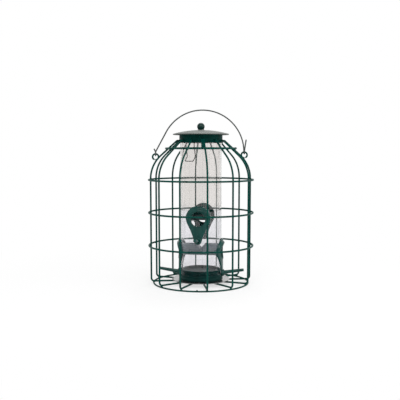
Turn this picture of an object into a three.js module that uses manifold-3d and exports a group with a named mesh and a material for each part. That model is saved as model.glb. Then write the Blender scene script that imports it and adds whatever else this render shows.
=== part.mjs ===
// A caged seed feeder for small garden birds, in millimetres, +Z up.
// A clear seed tube with four feeding ports stands in a domed wire cage whose gaps are too small for a squirrel.
// The origin is on the cage's axis, on the surface that the bottom ring stands on.
// An azimuth is an angle round that axis from -Y, the front, towards +X, the right.

import * as THREE from "three";
import { mergeVertices } from "three/addons/utils/BufferGeometryUtils.js";
import Module from "manifold-3d";

const wasm = await Module();
wasm.setup();

// Clearances, and how finely round forms are cut
const weldGap = 0.2; // between wires that are welded side to side
const fitGap = 0.3; // between pieces that seat on each other
const chordError = 0.2; // how far a facet may leave its arc
const coarsestStep = THREE.MathUtils.degToRad(30);
const tinyLength = 0.0001;
const cutOverrun = 5; // how far a cutter reaches past what it cuts
const wireSides = 6;
const ringSegments = 36;
const bodySegments = 36;
const smallSegments = 20;
const lipSegments = 24;
const ballSteps = 7;
const curveSegments = 5; // in each curve of a port's outline

// Cage
const cageWireCount = 12;
const wireRadius = 1.45;
const cageRadius = 82.2; // wire centre line at the shoulder
const wallLean = 1.4; // how far the wall leans in from the shoulder to the foot
const shoulderHeight = 170.3;
const domeBend = 50.8;
const domeSlope = THREE.MathUtils.degToRad(42.6);
const wireTopRun = 3.8; // level run from the collar to the corner where a wire turns down the dome
const wireTopBend = 3;
const footBend = 5;
const wireUnderPlate = 23; // how far the wires reach in under the base plate
const lowerRingHeight = 61.5;
const upperRingDrop = 2.1; // below the shoulder
const domeRingShare = 0.624; // how far up the dome's slope its ring goes round
const bottomRingInset = 4; // inside the wires' foot

// Bail and its eyes
const eyeWireRadius = 1.4;
const eyeRadius = 4.8; // wire centre line
const rightEyeAngle = THREE.MathUtils.degToRad(43.7); // up the dome's bend from the shoulder
const leftEyeAngle = THREE.MathUtils.degToRad(39.5);
const eyeStartAngle = THREE.MathUtils.degToRad(-95);
const eyeTurn = THREE.MathUtils.degToRad(342);
const bailWireRadius = 1.1;
const archInset = 4.65; // how much less the arch's radius is than half the way from eye to eye
const archRise = 0.7; // of its centre over the right eye's wire
const legBend = 6;
const legRise = 3; // straight stretch of each leg over its hook
const tailBend = 3;
const rightTail = { rise: 20.5, lean: 2.7 };
const leftTail = { rise: 8.4, lean: 2.7 };

// Collar at the top of the cage
const collarTubeGap = 0.5;
const collarWall = 1;
const collarDrop = 3.6; // of its foot below the wires' level run
const collarBeadStep = 1.4;
const collarBeadHeight = 1.8;
const tabWidth = 5;
const tabThickness = 0.9;
const tabAzimuth = -3.6;

// Seed tube and the cup at its foot
const tubeRadius = 33.9;
const tubeWall = 1.6;
const tubeTopDrop = 7.3; // of its rim below the lid's
const plateMargin = 13.1; // of the plate outside the tube
const plateThickness = 1;
const cupWallHeight = 7.4; // from the cup's underside to the tube's end
const cupBeadStep = 1.6; // of the foot's bead outside the tube
const cupBeadHeight = 2.6;
const cupBeadSlope = 0.8;
const cupSpigotHeight = 8.6;
const cupSpigotWall = 1.5;
const cupFloorDrop = 4.5; // from the spigot's rim to the floor at its edge
const cupFloorCrown = 0.8;
const cupFloorThickness = 1.8;
const cupRibCount = 6;
const cupRibThickness = 1.4;
const bossWall = 2.2;
const pilotDepth = 8.6;

// Feeding ports
const portHoleRadius = 11.5;
const portHeadRadius = 20;
const portHeadRise = 1.1; // the round head's centre above the hole's
const portTipRadius = 6.3;
const portTipDrop = 33.7; // tip's centre below the hole's
const portSideSag = 1.3; // how far the sides are drawn in between head and tip
const portThickness = 2.2;
const portLipRadius = 13.6; // of the rain lip's rim, round the head's centre
const portLipRise = 2.8; // of the rim's top over the face
const portLipLean = THREE.MathUtils.degToRad(26.6); // of the rim's plane, so that it fades out beside the hole
const portLipFall = THREE.MathUtils.degToRad(40.7); // from the rim back to the head's edge
const portBeadWidth = 1.6;
const portBeadRise = 0.5;
const hoodWall = 1.5;
const hoodSkirt = 4.6;
const hoodSlant = THREE.MathUtils.degToRad(45);
const hoodSlantStart = 5.5; // height over the hole's centre where the end wall begins to lean
const perchBossRadius = 4.8;
const perchBossLength = 4.6; // from the port's seat
const perchDrop = 34.5; // perch below the hole at the tube's wall
const perchFit = 0.2;
const socketFloor = 1.2;
const upperPortHeight = 106.7; // of the hole's centre
const lowerPortHeight = 51.7;
const ports = {
  upper_front: { azimuth: -15, height: upperPortHeight },
  upper_rear: { azimuth: 165, height: upperPortHeight },
  lower_right: { azimuth: 75, height: lowerPortHeight },
  lower_left: { azimuth: 255, height: lowerPortHeight },
};

// Perches
const perchRootRadius = 3;
const perchTipRadius = 2.3;
const perchLength = 37; // out from the tube's wall
const perchTilt = THREE.MathUtils.degToRad(8.2);
const perchEndRound = 0.8;

// Lid, knob and the lid's spring clip
const lidOverhang = 10.6; // outside the collar
const lidRise = 6.4;
const lidThickness = 0.9;
const lidRimRise = 11; // over the wires' level run
const lidLip = 1.5;
const lidSteps = 3;
const knobRadius = 6.3;
const knobCentreRise = 5.6; // ball's centre over the lid's top
const knobFootRadius = 4.8;
const knobFootHeight = 1.2;
const knobBoreDepth = 6;
const clipWireRadius = 0.75;
const clipAzimuth = -45;
const clipHalfWidth = 8.2;
const clipRoot = { out: 4.2, aside: 3 };
const clipInset = { top: 2.4, waist: 5.5 }; // from the foot, which springs out to the tube's wall
const clipDrop = { shoulder: 21.3, waist: 36.3, foot: 44.3 }; // below the lid's rim
const clipBend = 2.4;
const lidWasherRadius = 8.5;

// Screws and washers
const screwRadius = 2;
const screwHeadRadius = 3.8;
const screwHeadHeight = 2.2;
const screwSlotWidth = 1;
const screwSlotDepth = 1;
const baseWasherRadius = 8;
const washerThickness = 1;

// Places that follow from the sizes
const flatShare = Math.cos(Math.PI / wireSides); // flat's distance from the centre of a faceted wire
const weldedPitch = 2 * wireRadius + weldGap;
const bottomRingHeight = wireRadius * flatShare;
const footWireHeight = bottomRingHeight + weldedPitch;
const cageFootRadius = cageRadius - wallLean;
const bottomRingRadius = cageFootRadius - bottomRingInset;
const collarRadius = tubeRadius + collarTubeGap + collarWall;
const collarBeadRadius = collarRadius + collarBeadStep;
const domeTurn = Math.PI / 2 - domeSlope;
const domeCornerHeight = shoulderHeight + domeBend * Math.tan(domeTurn / 2);
const wireTopCornerRadius = collarRadius + wireTopRun;
const wireTopHeight = domeCornerHeight + (cageRadius - wireTopCornerRadius) * Math.tan(domeSlope);
const collarBottomHeight = wireTopHeight - collarDrop;
const domeRingHeight = THREE.MathUtils.lerp(domeCornerHeight, wireTopHeight, domeRingShare);
const upperRingHeight = shoulderHeight - upperRingDrop;
const bodyRingHeights = {
  lower_ring: lowerRingHeight,
  middle_ring: (lowerRingHeight + upperRingHeight) / 2,
  upper_ring: upperRingHeight,
};
const plateRadius = tubeRadius + plateMargin;
const wireInnerEnd = plateRadius - wireUnderPlate;
const plateBottom = footWireHeight + wireRadius + weldGap;
const plateTop = plateBottom + plateThickness;
const cupBottom = plateTop + fitGap;
const cupShoulder = cupBottom + cupWallHeight;
const cupBeadRadius = tubeRadius + cupBeadStep;
const tubeBottomHeight = cupShoulder + fitGap;
const tubeBore = tubeRadius - tubeWall;
const screwHoleRadius = screwRadius + fitGap;
const portInnerRadius = tubeRadius + fitGap;
const portFaceRadius = portInnerRadius + portThickness;
const perchBossReach = portInnerRadius + perchBossLength;
const perchReach = tubeRadius + perchLength;
const hoodRadius = portHoleRadius + hoodWall;
const hoodEnd = fitGap; // from the tube's axis: the opposite hood ends as far beyond it
const lidRadius = collarRadius + lidOverhang;
const lidRimHeight = wireTopHeight + lidRimRise;
const tubeTopHeight = lidRimHeight - tubeTopDrop;
const lidTopHeight = lidRimHeight + lidRise;
const lidArcRadius = (lidRadius ** 2 + lidRise ** 2) / (2 * lidRise);
const clipFootReach = Math.sqrt((tubeBore - fitGap - clipWireRadius) ** 2 - clipHalfWidth ** 2);
const eyePlane = -((wireRadius + eyeWireRadius) * flatShare + weldGap); // beside the front of their wires
const hookRadius = eyeWireRadius + fitGap + bailWireRadius;
const up = new THREE.Vector3(0, 0, 1);
const back = new THREE.Vector3(0, 1, 0);

const greenPaint = new THREE.MeshStandardMaterial({ color: 0x0d4a3e, roughness: 0.35, metalness: 0.1 });
const greenPlastic = new THREE.MeshStandardMaterial({ color: 0x0f4438, roughness: 0.4, metalness: 0 });
const clearPlastic = new THREE.MeshStandardMaterial({
  color: 0xe6e8e8,
  roughness: 0.08,
  metalness: 0,
  transparent: true,
  opacity: 0.3,
});
const galvanised = new THREE.MeshStandardMaterial({ color: 0xc4c8c4, roughness: 0.35, metalness: 0.9 });
const springSteel = new THREE.MeshStandardMaterial({ color: 0x6e7472, roughness: 0.3, metalness: 0.9 });

// The angle that one facet of an arc of this radius may span.
function stepAngle(radius) {
  return Math.min(coarsestStep, 2 * Math.acos(1 - chordError / radius));
}

// The centre line of a bent wire. It is laid from one end, and each facet of a bend is one step.
class WireRoute extends THREE.Curve {
  constructor(start, heading) {
    super();
    this.points = [start.clone()];
    this.headings = [heading.clone().normalize()];
  }

  get end() {
    return this.points.at(-1);
  }

  get heading() {
    return this.headings.at(-1);
  }

  add(point, heading) {
    this.points.push(point.clone());
    this.headings.push(heading.clone());
    return this;
  }

  // A straight run, which is on the route's heading.
  runTo(point) {
    return point.distanceTo(this.end) > tinyLength ? this.add(point, this.heading) : this;
  }

  arc(centre, axis, angle) {
    const spoke = this.end.clone().sub(centre);
    const heading = this.heading.clone();
    const steps = Math.ceil(angle / stepAngle(spoke.length()));
    for (let i = 1; i <= steps; i += 1) {
      const turn = (angle * i) / steps;
      const point = spoke.clone().applyAxisAngle(axis, turn).add(centre);
      this.add(point, heading.clone().applyAxisAngle(axis, turn));
    }
    return this;
  }

  // Runs towards a corner and rounds it, so that the route then heads for the next point.
  round(corner, next, bend) {
    const into = this.heading.clone();
    const out = next.clone().sub(corner).normalize();
    const turn = into.angleTo(out);
    const start = corner.clone().addScaledVector(into, -bend * Math.tan(turn / 2));
    const axis = into.clone().cross(out).normalize();
    const centre = start.clone().addScaledVector(axis.clone().cross(into), bend);
    return this.runTo(start).arc(centre, axis, turn);
  }

  getPointAt(u) {
    return this.points[Math.round(u * (this.points.length - 1))].clone();
  }

  getTangentAt(u) {
    return this.headings[Math.round(u * (this.headings.length - 1))].clone();
  }
}

// Points round a wire's section, with a corner on the first axis and a flat across the second.
function wireSection(radius) {
  const points = [];
  for (let i = 0; i < wireSides; i += 1) {
    const angle = (i / wireSides) * 2 * Math.PI;
    points.push(new THREE.Vector2(radius * Math.cos(angle), radius * Math.sin(angle)));
  }
  return points;
}

function bentWire(route, radius) {
  const section = new THREE.Shape(wireSection(radius));
  return new THREE.ExtrudeGeometry(section, { steps: route.points.length - 1, extrudePath: route });
}

// A profile of [radius, height] pairs turned round the Z axis. It runs anticlockwise, outwards along the bottom.
function turned(profile, segments) {
  const points = profile.map(([radius, height]) => new THREE.Vector2(radius, height));
  return new THREE.LatheGeometry(points, segments).rotateX(Math.PI / 2);
}

function turnedRing(profile, segments) {
  return turned([...profile, profile[0]], segments);
}

function wireRing(radius, height, segments) {
  const section = wireSection(wireRadius).map((p) => [radius + p.x, height + p.y]);
  return turnedRing(section, segments);
}

function solidOf(geometry) {
  const bare = geometry.clone();
  bare.deleteAttribute("normal");
  bare.deleteAttribute("uv");
  const merged = mergeVertices(bare, tinyLength);
  const vertProperties = merged.getAttribute("position").array;
  const triVerts = new Uint32Array(merged.index.array);
  return new wasm.Manifold(new wasm.Mesh({ numProp: 3, vertProperties, triVerts }));
}

function geometryOf(solid) {
  const made = solid.getMesh();
  const geometry = new THREE.BufferGeometry();
  geometry.setAttribute("position", new THREE.BufferAttribute(made.vertProperties, 3));
  geometry.setIndex(new THREE.BufferAttribute(made.triVerts, 1));
  const faceted = geometry.toNonIndexed();
  faceted.computeVertexNormals();
  return faceted;
}

// Where a piece on this azimuth is turned to, when it was made facing +X.
function facing(azimuth) {
  return THREE.MathUtils.degToRad(azimuth - 90);
}

function named(name, geometry, material) {
  const mesh = new THREE.Mesh(geometry, material);
  mesh.name = name;
  return mesh;
}

// A point in a wire's own plane: out from the axis, and up.
function inPlane(out, height) {
  return new THREE.Vector3(out, 0, height);
}

// The cage wall's centre line leans in below the shoulder.
function wallRadius(height) {
  const share = (shoulderHeight - height) / (shoulderHeight - footWireHeight);
  return THREE.MathUtils.lerp(cageRadius, cageFootRadius, share);
}

// A point beside the dome's straight slope, off its wires' centre line by this much.
function besideSlope(height, offset) {
  const out = cageRadius - (height - domeCornerHeight) / Math.tan(domeSlope);
  return inPlane(out + offset * Math.sin(domeSlope), height + offset * Math.cos(domeSlope));
}

// One cage wire runs from the collar over the dome, down the wall and in under the base plate.
function cageWire() {
  const top = inPlane(collarRadius + weldGap, wireTopHeight);
  const topCorner = inPlane(wireTopCornerRadius, wireTopHeight);
  const domeCorner = inPlane(wallRadius(domeCornerHeight), domeCornerHeight);
  const footCorner = inPlane(cageFootRadius, footWireHeight);
  const innerEnd = inPlane(wireInnerEnd, footWireHeight);
  const route = new WireRoute(top, topCorner.clone().sub(top))
    .round(topCorner, domeCorner, wireTopBend)
    .round(domeCorner, footCorner, domeBend)
    .round(footCorner, innerEnd, footBend)
    .runTo(innerEnd);
  return bentWire(route, wireRadius);
}

function cageWires() {
  const group = new THREE.Group();
  const geometry = cageWire();
  for (let i = 0; i < cageWireCount; i += 1) {
    const wire = named(`cage_wire_${String(i + 1).padStart(2, "0")}`, geometry, greenPaint);
    wire.rotation.z = facing((i * 360) / cageWireCount);
    group.add(wire);
  }
  return group;
}

function cageRings() {
  const group = new THREE.Group();
  for (const [name, height] of Object.entries(bodyRingHeights)) {
    const ring = wireRing(wallRadius(height) + weldedPitch, height, ringSegments);
    group.add(named(name, ring, greenPaint));
  }
  const domeRing = besideSlope(domeRingHeight, weldedPitch);
  group.add(named("dome_ring", wireRing(domeRing.x, domeRing.z, ringSegments), greenPaint));
  group.add(named("bottom_ring", wireRing(bottomRingRadius, bottomRingHeight, ringSegments), greenPaint));
  return group;
}

// Centre of an eye, welded beside the cage wire on its side (1 right, -1 left).
function eyeCentre(side, angle) {
  const out = cageRadius - domeBend + (domeBend + eyeRadius) * Math.cos(angle);
  return new THREE.Vector3(side * out, eyePlane, shoulderHeight + (domeBend + eyeRadius) * Math.sin(angle));
}

const rightEye = eyeCentre(1, rightEyeAngle);
const leftEye = eyeCentre(-1, leftEyeAngle);

// An eye is one turn of wire, bent from its lowest point up past the cage wire and over until it nearly closes.
function bailEye(centre, side) {
  const axis = back.clone().multiplyScalar(side);
  const spoke = new THREE.Vector3(-side * eyeRadius, 0, 0).applyAxisAngle(axis, eyeStartAngle);
  const start = centre.clone().add(spoke);
  const route = new WireRoute(start, axis.clone().cross(spoke)).arc(centre, axis, eyeTurn);
  return bentWire(route, eyeWireRadius);
}

// The pivot of a hook is the middle of the eye's own wire, at the top of the eye.
function hookPivot(centre) {
  return centre.clone().addScaledVector(up, eyeRadius);
}

// The bail hooks round the top of each eye from the front, and its arch runs over the cage behind the hooks.
function bailHandle() {
  const rightPivot = hookPivot(rightEye);
  const leftPivot = hookPivot(leftEye);
  const beside = (pivot, y, rise) => new THREE.Vector3(pivot.x, pivot.y + y, pivot.z + rise);
  const tailEnd = (pivot, side, tail) => beside(pivot, -hookRadius, tail.rise)
    .add(new THREE.Vector3(side * tail.lean, 0, 0));

  const archRadius = (rightPivot.x - leftPivot.x) / 2 - archInset;
  const arch = beside(rightPivot, hookRadius, archRise).setX(rightPivot.x - archRadius);
  const leftKnee = beside(leftPivot, hookRadius, legRise);
  const toKnee = leftKnee.clone().sub(arch);
  const kneeAngle = 2 * Math.PI + Math.atan2(toKnee.z, toKnee.x);
  const archTurn = (kneeAngle % (2 * Math.PI)) - Math.acos(archRadius / toKnee.length());

  const start = tailEnd(rightPivot, 1, rightTail);
  const tailFoot = beside(rightPivot, -hookRadius, legRise);
  const leftTailFoot = beside(leftPivot, -hookRadius, legRise);
  const leftEnd = tailEnd(leftPivot, -1, leftTail);
  const route = new WireRoute(start, tailFoot.clone().sub(start))
    .round(tailFoot, beside(rightPivot, -hookRadius, -hookRadius), tailBend)
    .round(beside(rightPivot, -hookRadius, -hookRadius), beside(rightPivot, 0, -hookRadius), hookRadius)
    .round(beside(rightPivot, hookRadius, -hookRadius), beside(rightPivot, hookRadius, 0), hookRadius)
    .runTo(new THREE.Vector3(rightPivot.x, arch.y, arch.z))
    .arc(arch, back.clone().negate(), archTurn)
    .round(leftKnee, beside(leftPivot, hookRadius, 0), legBend)
    .round(beside(leftPivot, hookRadius, -hookRadius), beside(leftPivot, 0, -hookRadius), hookRadius)
    .round(beside(leftPivot, -hookRadius, -hookRadius), beside(leftPivot, -hookRadius, 0), hookRadius)
    .round(leftTailFoot, leftEnd, tailBend)
    .runTo(leftEnd);
  return bentWire(route, bailWireRadius);
}

// Height of the lid's upper surface, a shallow dome, and of the sheet's underside.
function lidTop(radius) {
  return lidTopHeight - (lidArcRadius - Math.sqrt(lidArcRadius ** 2 - radius ** 2));
}

function lidUnder(radius) {
  return lidTop(radius) - lidThickness;
}

// A strap of the collar's sheet lies over the front wire, from the collar's wall down to the dome ring.
function collarTab() {
  const inner = wireRadius + fitGap;
  const outer = inner + tabThickness;
  const corner = (offset) => wireTopCornerRadius + offset * Math.tan(domeSlope / 2);
  const root = collarRadius - collarWall / 2;
  const end = domeRingHeight + (wireRadius + fitGap) * Math.sin(domeSlope);
  const outline = [
    inPlane(root, wireTopHeight + inner),
    inPlane(corner(inner), wireTopHeight + inner),
    besideSlope(end, inner),
    besideSlope(end, outer),
    inPlane(corner(outer), wireTopHeight + outer),
    inPlane(root, wireTopHeight + outer),
  ];
  const shape = new THREE.Shape(outline.map((p) => new THREE.Vector2(p.x, p.z)));
  const strap = new THREE.ExtrudeGeometry(shape, { depth: tabWidth, bevelEnabled: false });
  return strap.rotateX(Math.PI / 2).translate(0, tabWidth / 2, 0).rotateZ(facing(tabAzimuth));
}

function collar() {
  const bore = collarRadius - collarWall;
  const top = lidUnder(collarRadius) - fitGap;
  const beadTop = collarBottomHeight + collarBeadHeight;
  const beadStep = collarBeadRadius - collarRadius;
  const wall = turnedRing(
    [
      [bore, collarBottomHeight],
      [collarBeadRadius - beadStep / 2, collarBottomHeight],
      [collarBeadRadius, collarBottomHeight + beadStep / 2],
      [collarBeadRadius, beadTop - beadStep / 2],
      [collarRadius, beadTop],
      [collarRadius, top],
      [bore, top],
    ],
    bodySegments,
  );
  return geometryOf(solidOf(wall).add(solidOf(collarTab())));
}

function basePlate() {
  return turnedRing(
    [
      [screwHoleRadius, plateBottom],
      [plateRadius, plateBottom],
      [plateRadius, plateTop],
      [screwHoleRadius, plateTop],
    ],
    bodySegments,
  );
}

// The cup is a moulded plug: its spigot fills the tube's end, and ribs stiffen the floor from below.
function baseCup() {
  const spigotRadius = tubeBore - fitGap;
  const spigotBore = spigotRadius - cupSpigotWall;
  const rim = cupShoulder + cupSpigotHeight;
  const floor = rim - cupFloorDrop;
  const floorUnder = floor - cupFloorThickness;
  const bossRadius = screwHoleRadius + bossWall;
  const beadTop = cupBottom + cupBeadHeight;
  const shell = turned(
    [
      [0, cupBottom + pilotDepth],
      [screwHoleRadius, cupBottom + pilotDepth],
      [screwHoleRadius, cupBottom],
      [bossRadius, cupBottom],
      [bossRadius, floorUnder],
      [spigotBore, floorUnder],
      [spigotBore, cupBottom],
      [cupBeadRadius, cupBottom],
      [cupBeadRadius, beadTop],
      [tubeRadius, beadTop + cupBeadSlope],
      [tubeRadius, cupShoulder],
      [spigotRadius, cupShoulder],
      [spigotRadius, rim],
      [spigotBore, rim],
      [spigotBore, floor],
      [0, floor + cupFloorCrown],
    ],
    bodySegments,
  );
  const ribHeight = floorUnder - plateTop - 2 * fitGap;
  const ribStart = bossRadius - bossWall / 2;
  const ribLength = spigotBore + cupSpigotWall / 2 - ribStart;
  let cup = solidOf(shell);
  for (let i = 0; i < cupRibCount; i += 1) {
    const rib = new THREE.BoxGeometry(ribLength, cupRibThickness, ribHeight)
      .translate(ribStart + ribLength / 2, 0, floorUnder + fitGap - ribHeight / 2)
      .rotateZ((i * 2 * Math.PI) / cupRibCount);
    cup = cup.add(solidOf(rib));
  }
  return geometryOf(cup);
}

// A shape drawn as seen from outside, aside and up, and given depth along +X, out from the tube.
function radialPrism(shape, from, to) {
  const alongX = new THREE.Matrix4().makeBasis(
    new THREE.Vector3(0, 1, 0),
    new THREE.Vector3(0, 0, 1),
    new THREE.Vector3(1, 0, 0),
  );
  const settings = { depth: to - from, bevelEnabled: false, curveSegments };
  return solidOf(new THREE.ExtrudeGeometry(shape, settings).applyMatrix4(alongX).translate(from, 0, 0));
}

function disc(radius, rise) {
  const shape = new THREE.Shape();
  for (const start of [0, Math.PI / 2, Math.PI, -Math.PI / 2]) {
    shape.absarc(0, rise, radius, start, start + Math.PI / 2, false);
  }
  return shape;
}

// An upright cylinder round the tube's axis, between two heights.
function core(radius, low, high) {
  return solidOf(turned([[0, low], [radius, low], [radius, high], [0, high]], bodySegments));
}

// A block on the far side of a plane through (out, height), whose normal leans down from +X by this angle.
function beyondPlane(out, height, lean, size) {
  const block = new THREE.BoxGeometry(size, size, size);
  return solidOf(block.translate(size / 2, 0, 0).rotateY(lean).translate(out, 0, height));
}

// Teardrop face of a port: a round head, sides drawn in a little, and a small round tip.
function teardrop() {
  const drop = portHeadRise + portTipDrop;
  const flank = Math.asin((portHeadRadius - portTipRadius) / drop);
  const onHead = new THREE.Vector2(
    portHeadRadius * Math.cos(flank),
    portHeadRise - portHeadRadius * Math.sin(flank),
  );
  const onTip = new THREE.Vector2(
    portTipRadius * Math.cos(flank),
    -portTipDrop - portTipRadius * Math.sin(flank),
  );
  const drawnIn = onHead.clone().add(onTip).divideScalar(2);
  drawnIn.x -= 2 * portSideSag * Math.cos(flank);
  drawnIn.y += 2 * portSideSag * Math.sin(flank);
  const shape = new THREE.Shape();
  shape.absarc(0, portHeadRise, portHeadRadius, -flank, Math.PI + flank, false);
  shape.quadraticCurveTo(-drawnIn.x, drawnIn.y, -onTip.x, onTip.y);
  shape.absarc(0, -portTipDrop, portTipRadius, Math.PI + flank, 2 * Math.PI - flank, false);
  shape.quadraticCurveTo(drawnIn.x, drawnIn.y, onHead.x, onHead.y);
  return shape;
}

// The round-topped outline that the hood keeps all the way in.
function archway(radius, skirt) {
  const shape = new THREE.Shape();
  shape.moveTo(radius, -skirt);
  shape.lineTo(radius, 0);
  shape.absarc(0, 0, radius, 0, Math.PI, false);
  shape.lineTo(-radius, -skirt);
  return shape;
}

// The hood reaches in from the tube's wall almost to its axis, where its end wall leans back.
function hoodBlock(radius, skirt, inset) {
  const end = hoodEnd + inset;
  const outer = portFaceRadius;
  const leanOut = hoodEnd + inset * Math.cos(hoodSlant);
  const leanHeight = hoodSlantStart - inset * Math.sin(hoodSlant);
  const size = 2 * (portFaceRadius + portHeadRadius);
  return radialPrism(archway(radius, skirt), end, outer)
    .subtract(beyondPlane(leanOut, leanHeight, Math.PI + hoodSlant, size));
}

function perchLine(from, to, radius) {
  const rod = turned([[0, from], [radius, from], [radius, to], [0, to]], smallSegments);
  return solidOf(rod.rotateY(Math.PI / 2 - perchTilt).translate(0, 0, perchRootHeight));
}

// The rain lip is a low cone over the hole. A plane that leans back to its foot leaves only its upper part.
function rainLip() {
  const rim = portFaceRadius + portLipRise;
  const foot = rim - (portHeadRadius - portLipRadius) * Math.tan(portLipFall);
  const profile = [[0, 0], [portHeadRadius, 0], [portHeadRadius, foot], [portLipRadius, rim], [0, rim]];
  const cone = turned(profile, lipSegments);
  return solidOf(cone.rotateY(Math.PI / 2).translate(0, 0, portHeadRise))
    .subtract(beyondPlane(rim, portHeadRise + portLipRadius, portLipLean, 2 * rim));
}

// Height, from the hole's centre, at which the perch's line would meet the tube's axis.
const perchRootHeight = -perchDrop - tubeRadius * Math.tan(perchTilt);

// One port moulding, made facing +X with its hole's centre at height 0.
// A saddle flange lies on the tube outside, with a rain lip over the hole and a boss for the perch.
// Behind it a hood reaches in through the tube's wall and keeps the seed from pouring out.
function port() {
  const low = -portTipDrop - portTipRadius - cutOverrun;
  const high = portHeadRise + portHeadRadius + cutOverrun;
  const outside = portFaceRadius + portLipRise + cutOverrun;
  const inner = core(portInnerRadius, low, high);
  const face = core(portFaceRadius, low, high);

  const flange = radialPrism(teardrop(), 0, outside).intersect(face);
  const bead = radialPrism(disc(portHoleRadius + portBeadWidth, 0), 0, outside)
    .intersect(core(portFaceRadius + portBeadRise, low, high));
  const boss = perchLine(0, perchBossReach, perchBossRadius);
  const saddle = flange.add(bead).add(rainLip()).add(boss).subtract(inner);

  const hood = hoodBlock(hoodRadius, hoodSkirt, 0).intersect(face);
  const hoodInside = hoodBlock(portHoleRadius, hoodSkirt + cutOverrun, hoodWall).intersect(inner);
  const hole = radialPrism(disc(portHoleRadius, 0), portInnerRadius - hoodSkirt, outside + cutOverrun);
  const socket = perchLine(portInnerRadius + socketFloor, outside + cutOverrun, perchRootRadius + perchFit);
  return geometryOf(saddle.add(hood).subtract(hoodInside).subtract(hole).subtract(socket));
}

// A perch is a round peg with eased ends, made along its port's perch line. It tapers outside its boss.
function perch() {
  const start = portInnerRadius + socketFloor + fitGap;
  const peg = turned(
    [
      [0, start],
      [perchRootRadius - perchEndRound / 2, start],
      [perchRootRadius, start + perchEndRound / 2],
      [perchRootRadius, perchBossReach],
      [perchTipRadius, perchReach - perchEndRound],
      [perchTipRadius - perchEndRound, perchReach],
      [0, perchReach],
    ],
    smallSegments / 2,
  );
  return peg.rotateY(Math.PI / 2 - perchTilt).translate(0, 0, perchRootHeight);
}

function feedingPorts() {
  const group = new THREE.Group();
  const portGeometry = port();
  const perchGeometry = perch();
  for (const [place, { azimuth, height }] of Object.entries(ports)) {
    const station = new THREE.Group();
    station.rotation.z = facing(azimuth);
    station.position.z = height;
    station.add(named(`port_${place}`, portGeometry, greenPlastic));
    station.add(named(`perch_${place}`, perchGeometry, greenPlastic));
    group.add(station);
  }
  return group;
}

// The clear tube, with one round hole for each port's hood.
function seedTube() {
  const wall = turnedRing(
    [
      [tubeBore, tubeBottomHeight],
      [tubeRadius, tubeBottomHeight],
      [tubeRadius, tubeTopHeight],
      [tubeBore, tubeTopHeight],
    ],
    bodySegments,
  );
  const holeRadius = Math.hypot(hoodRadius, hoodSkirt) + fitGap;
  let tube = solidOf(wall);
  for (const { azimuth, height } of Object.values(ports)) {
    const cutter = radialPrism(disc(holeRadius, 0), 0, tubeRadius + cutOverrun)
      .rotate([0, 0, azimuth - 90])
      .translate([0, 0, height]);
    tube = tube.subtract(cutter);
  }
  return geometryOf(tube);
}

// A screw with a slotted head. It points up from the head's underside, which is its lowest face.
function screw(headBottom, tip) {
  const headTop = headBottom + screwHeadHeight;
  const crown = screwHeadHeight / 2;
  const body = turned(
    [
      [0, headBottom],
      [screwHeadRadius - crown, headBottom],
      [screwHeadRadius, headBottom + crown],
      [screwHeadRadius, headTop],
      [screwRadius, headTop],
      [screwRadius, tip - screwRadius / 2],
      [screwRadius / 2, tip],
      [0, tip],
    ],
    smallSegments,
  );
  const slot = new THREE.BoxGeometry(2 * screwHeadRadius + cutOverrun, screwSlotWidth, 2 * screwSlotDepth)
    .translate(0, 0, headBottom);
  return geometryOf(solidOf(body).subtract(solidOf(slot)));
}

function washer(radius, bottom) {
  return turnedRing(
    [
      [screwHoleRadius, bottom],
      [radius, bottom],
      [radius, bottom + washerThickness],
      [screwHoleRadius, bottom + washerThickness],
    ],
    smallSegments,
  );
}

function baseFastening() {
  const washerBottom = plateBottom - fitGap - washerThickness;
  const headBottom = washerBottom - fitGap - screwHeadHeight;
  const tip = cupBottom + pilotDepth - fitGap;
  const group = new THREE.Group();
  group.add(named("base_washer", washer(baseWasherRadius, washerBottom), galvanised));
  group.add(named("base_screw", screw(headBottom, tip), galvanised));
  return group;
}

// The lid is one dished sheet with its rim turned down.
function lid() {
  const lipBottom = lidRimHeight - lidLip;
  const inner = lidRadius - lidThickness;
  const profile = [[inner, lipBottom], [lidRadius, lipBottom]];
  for (let i = lidSteps; i >= 0; i -= 1) {
    const radius = screwHoleRadius + ((lidRadius - screwHoleRadius) * i) / lidSteps;
    profile.push([radius, lidTop(radius)]);
  }
  for (let i = 0; i <= lidSteps; i += 1) {
    const radius = screwHoleRadius + ((inner - screwHoleRadius) * i) / lidSteps;
    profile.push([radius, lidUnder(radius)]);
  }
  return turnedRing(profile, bodySegments);
}

function knob() {
  const bottom = lidTopHeight + fitGap;
  const centre = lidTopHeight + knobCentreRise;
  const boreTop = bottom + knobBoreDepth;
  const footTop = bottom + knobFootHeight;
  const start = Math.asin((footTop - centre) / knobRadius);
  const profile = [
    [0, boreTop],
    [screwHoleRadius, boreTop],
    [screwHoleRadius, bottom],
    [knobFootRadius, bottom],
    [knobFootRadius, footTop],
  ];
  for (let i = 0; i < ballSteps; i += 1) {
    const angle = THREE.MathUtils.lerp(start, Math.PI / 2, i / ballSteps);
    profile.push([knobRadius * Math.cos(angle), centre + knobRadius * Math.sin(angle)]);
  }
  profile.push([0, centre + knobRadius]);
  return turned(profile, smallSegments);
}

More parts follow.
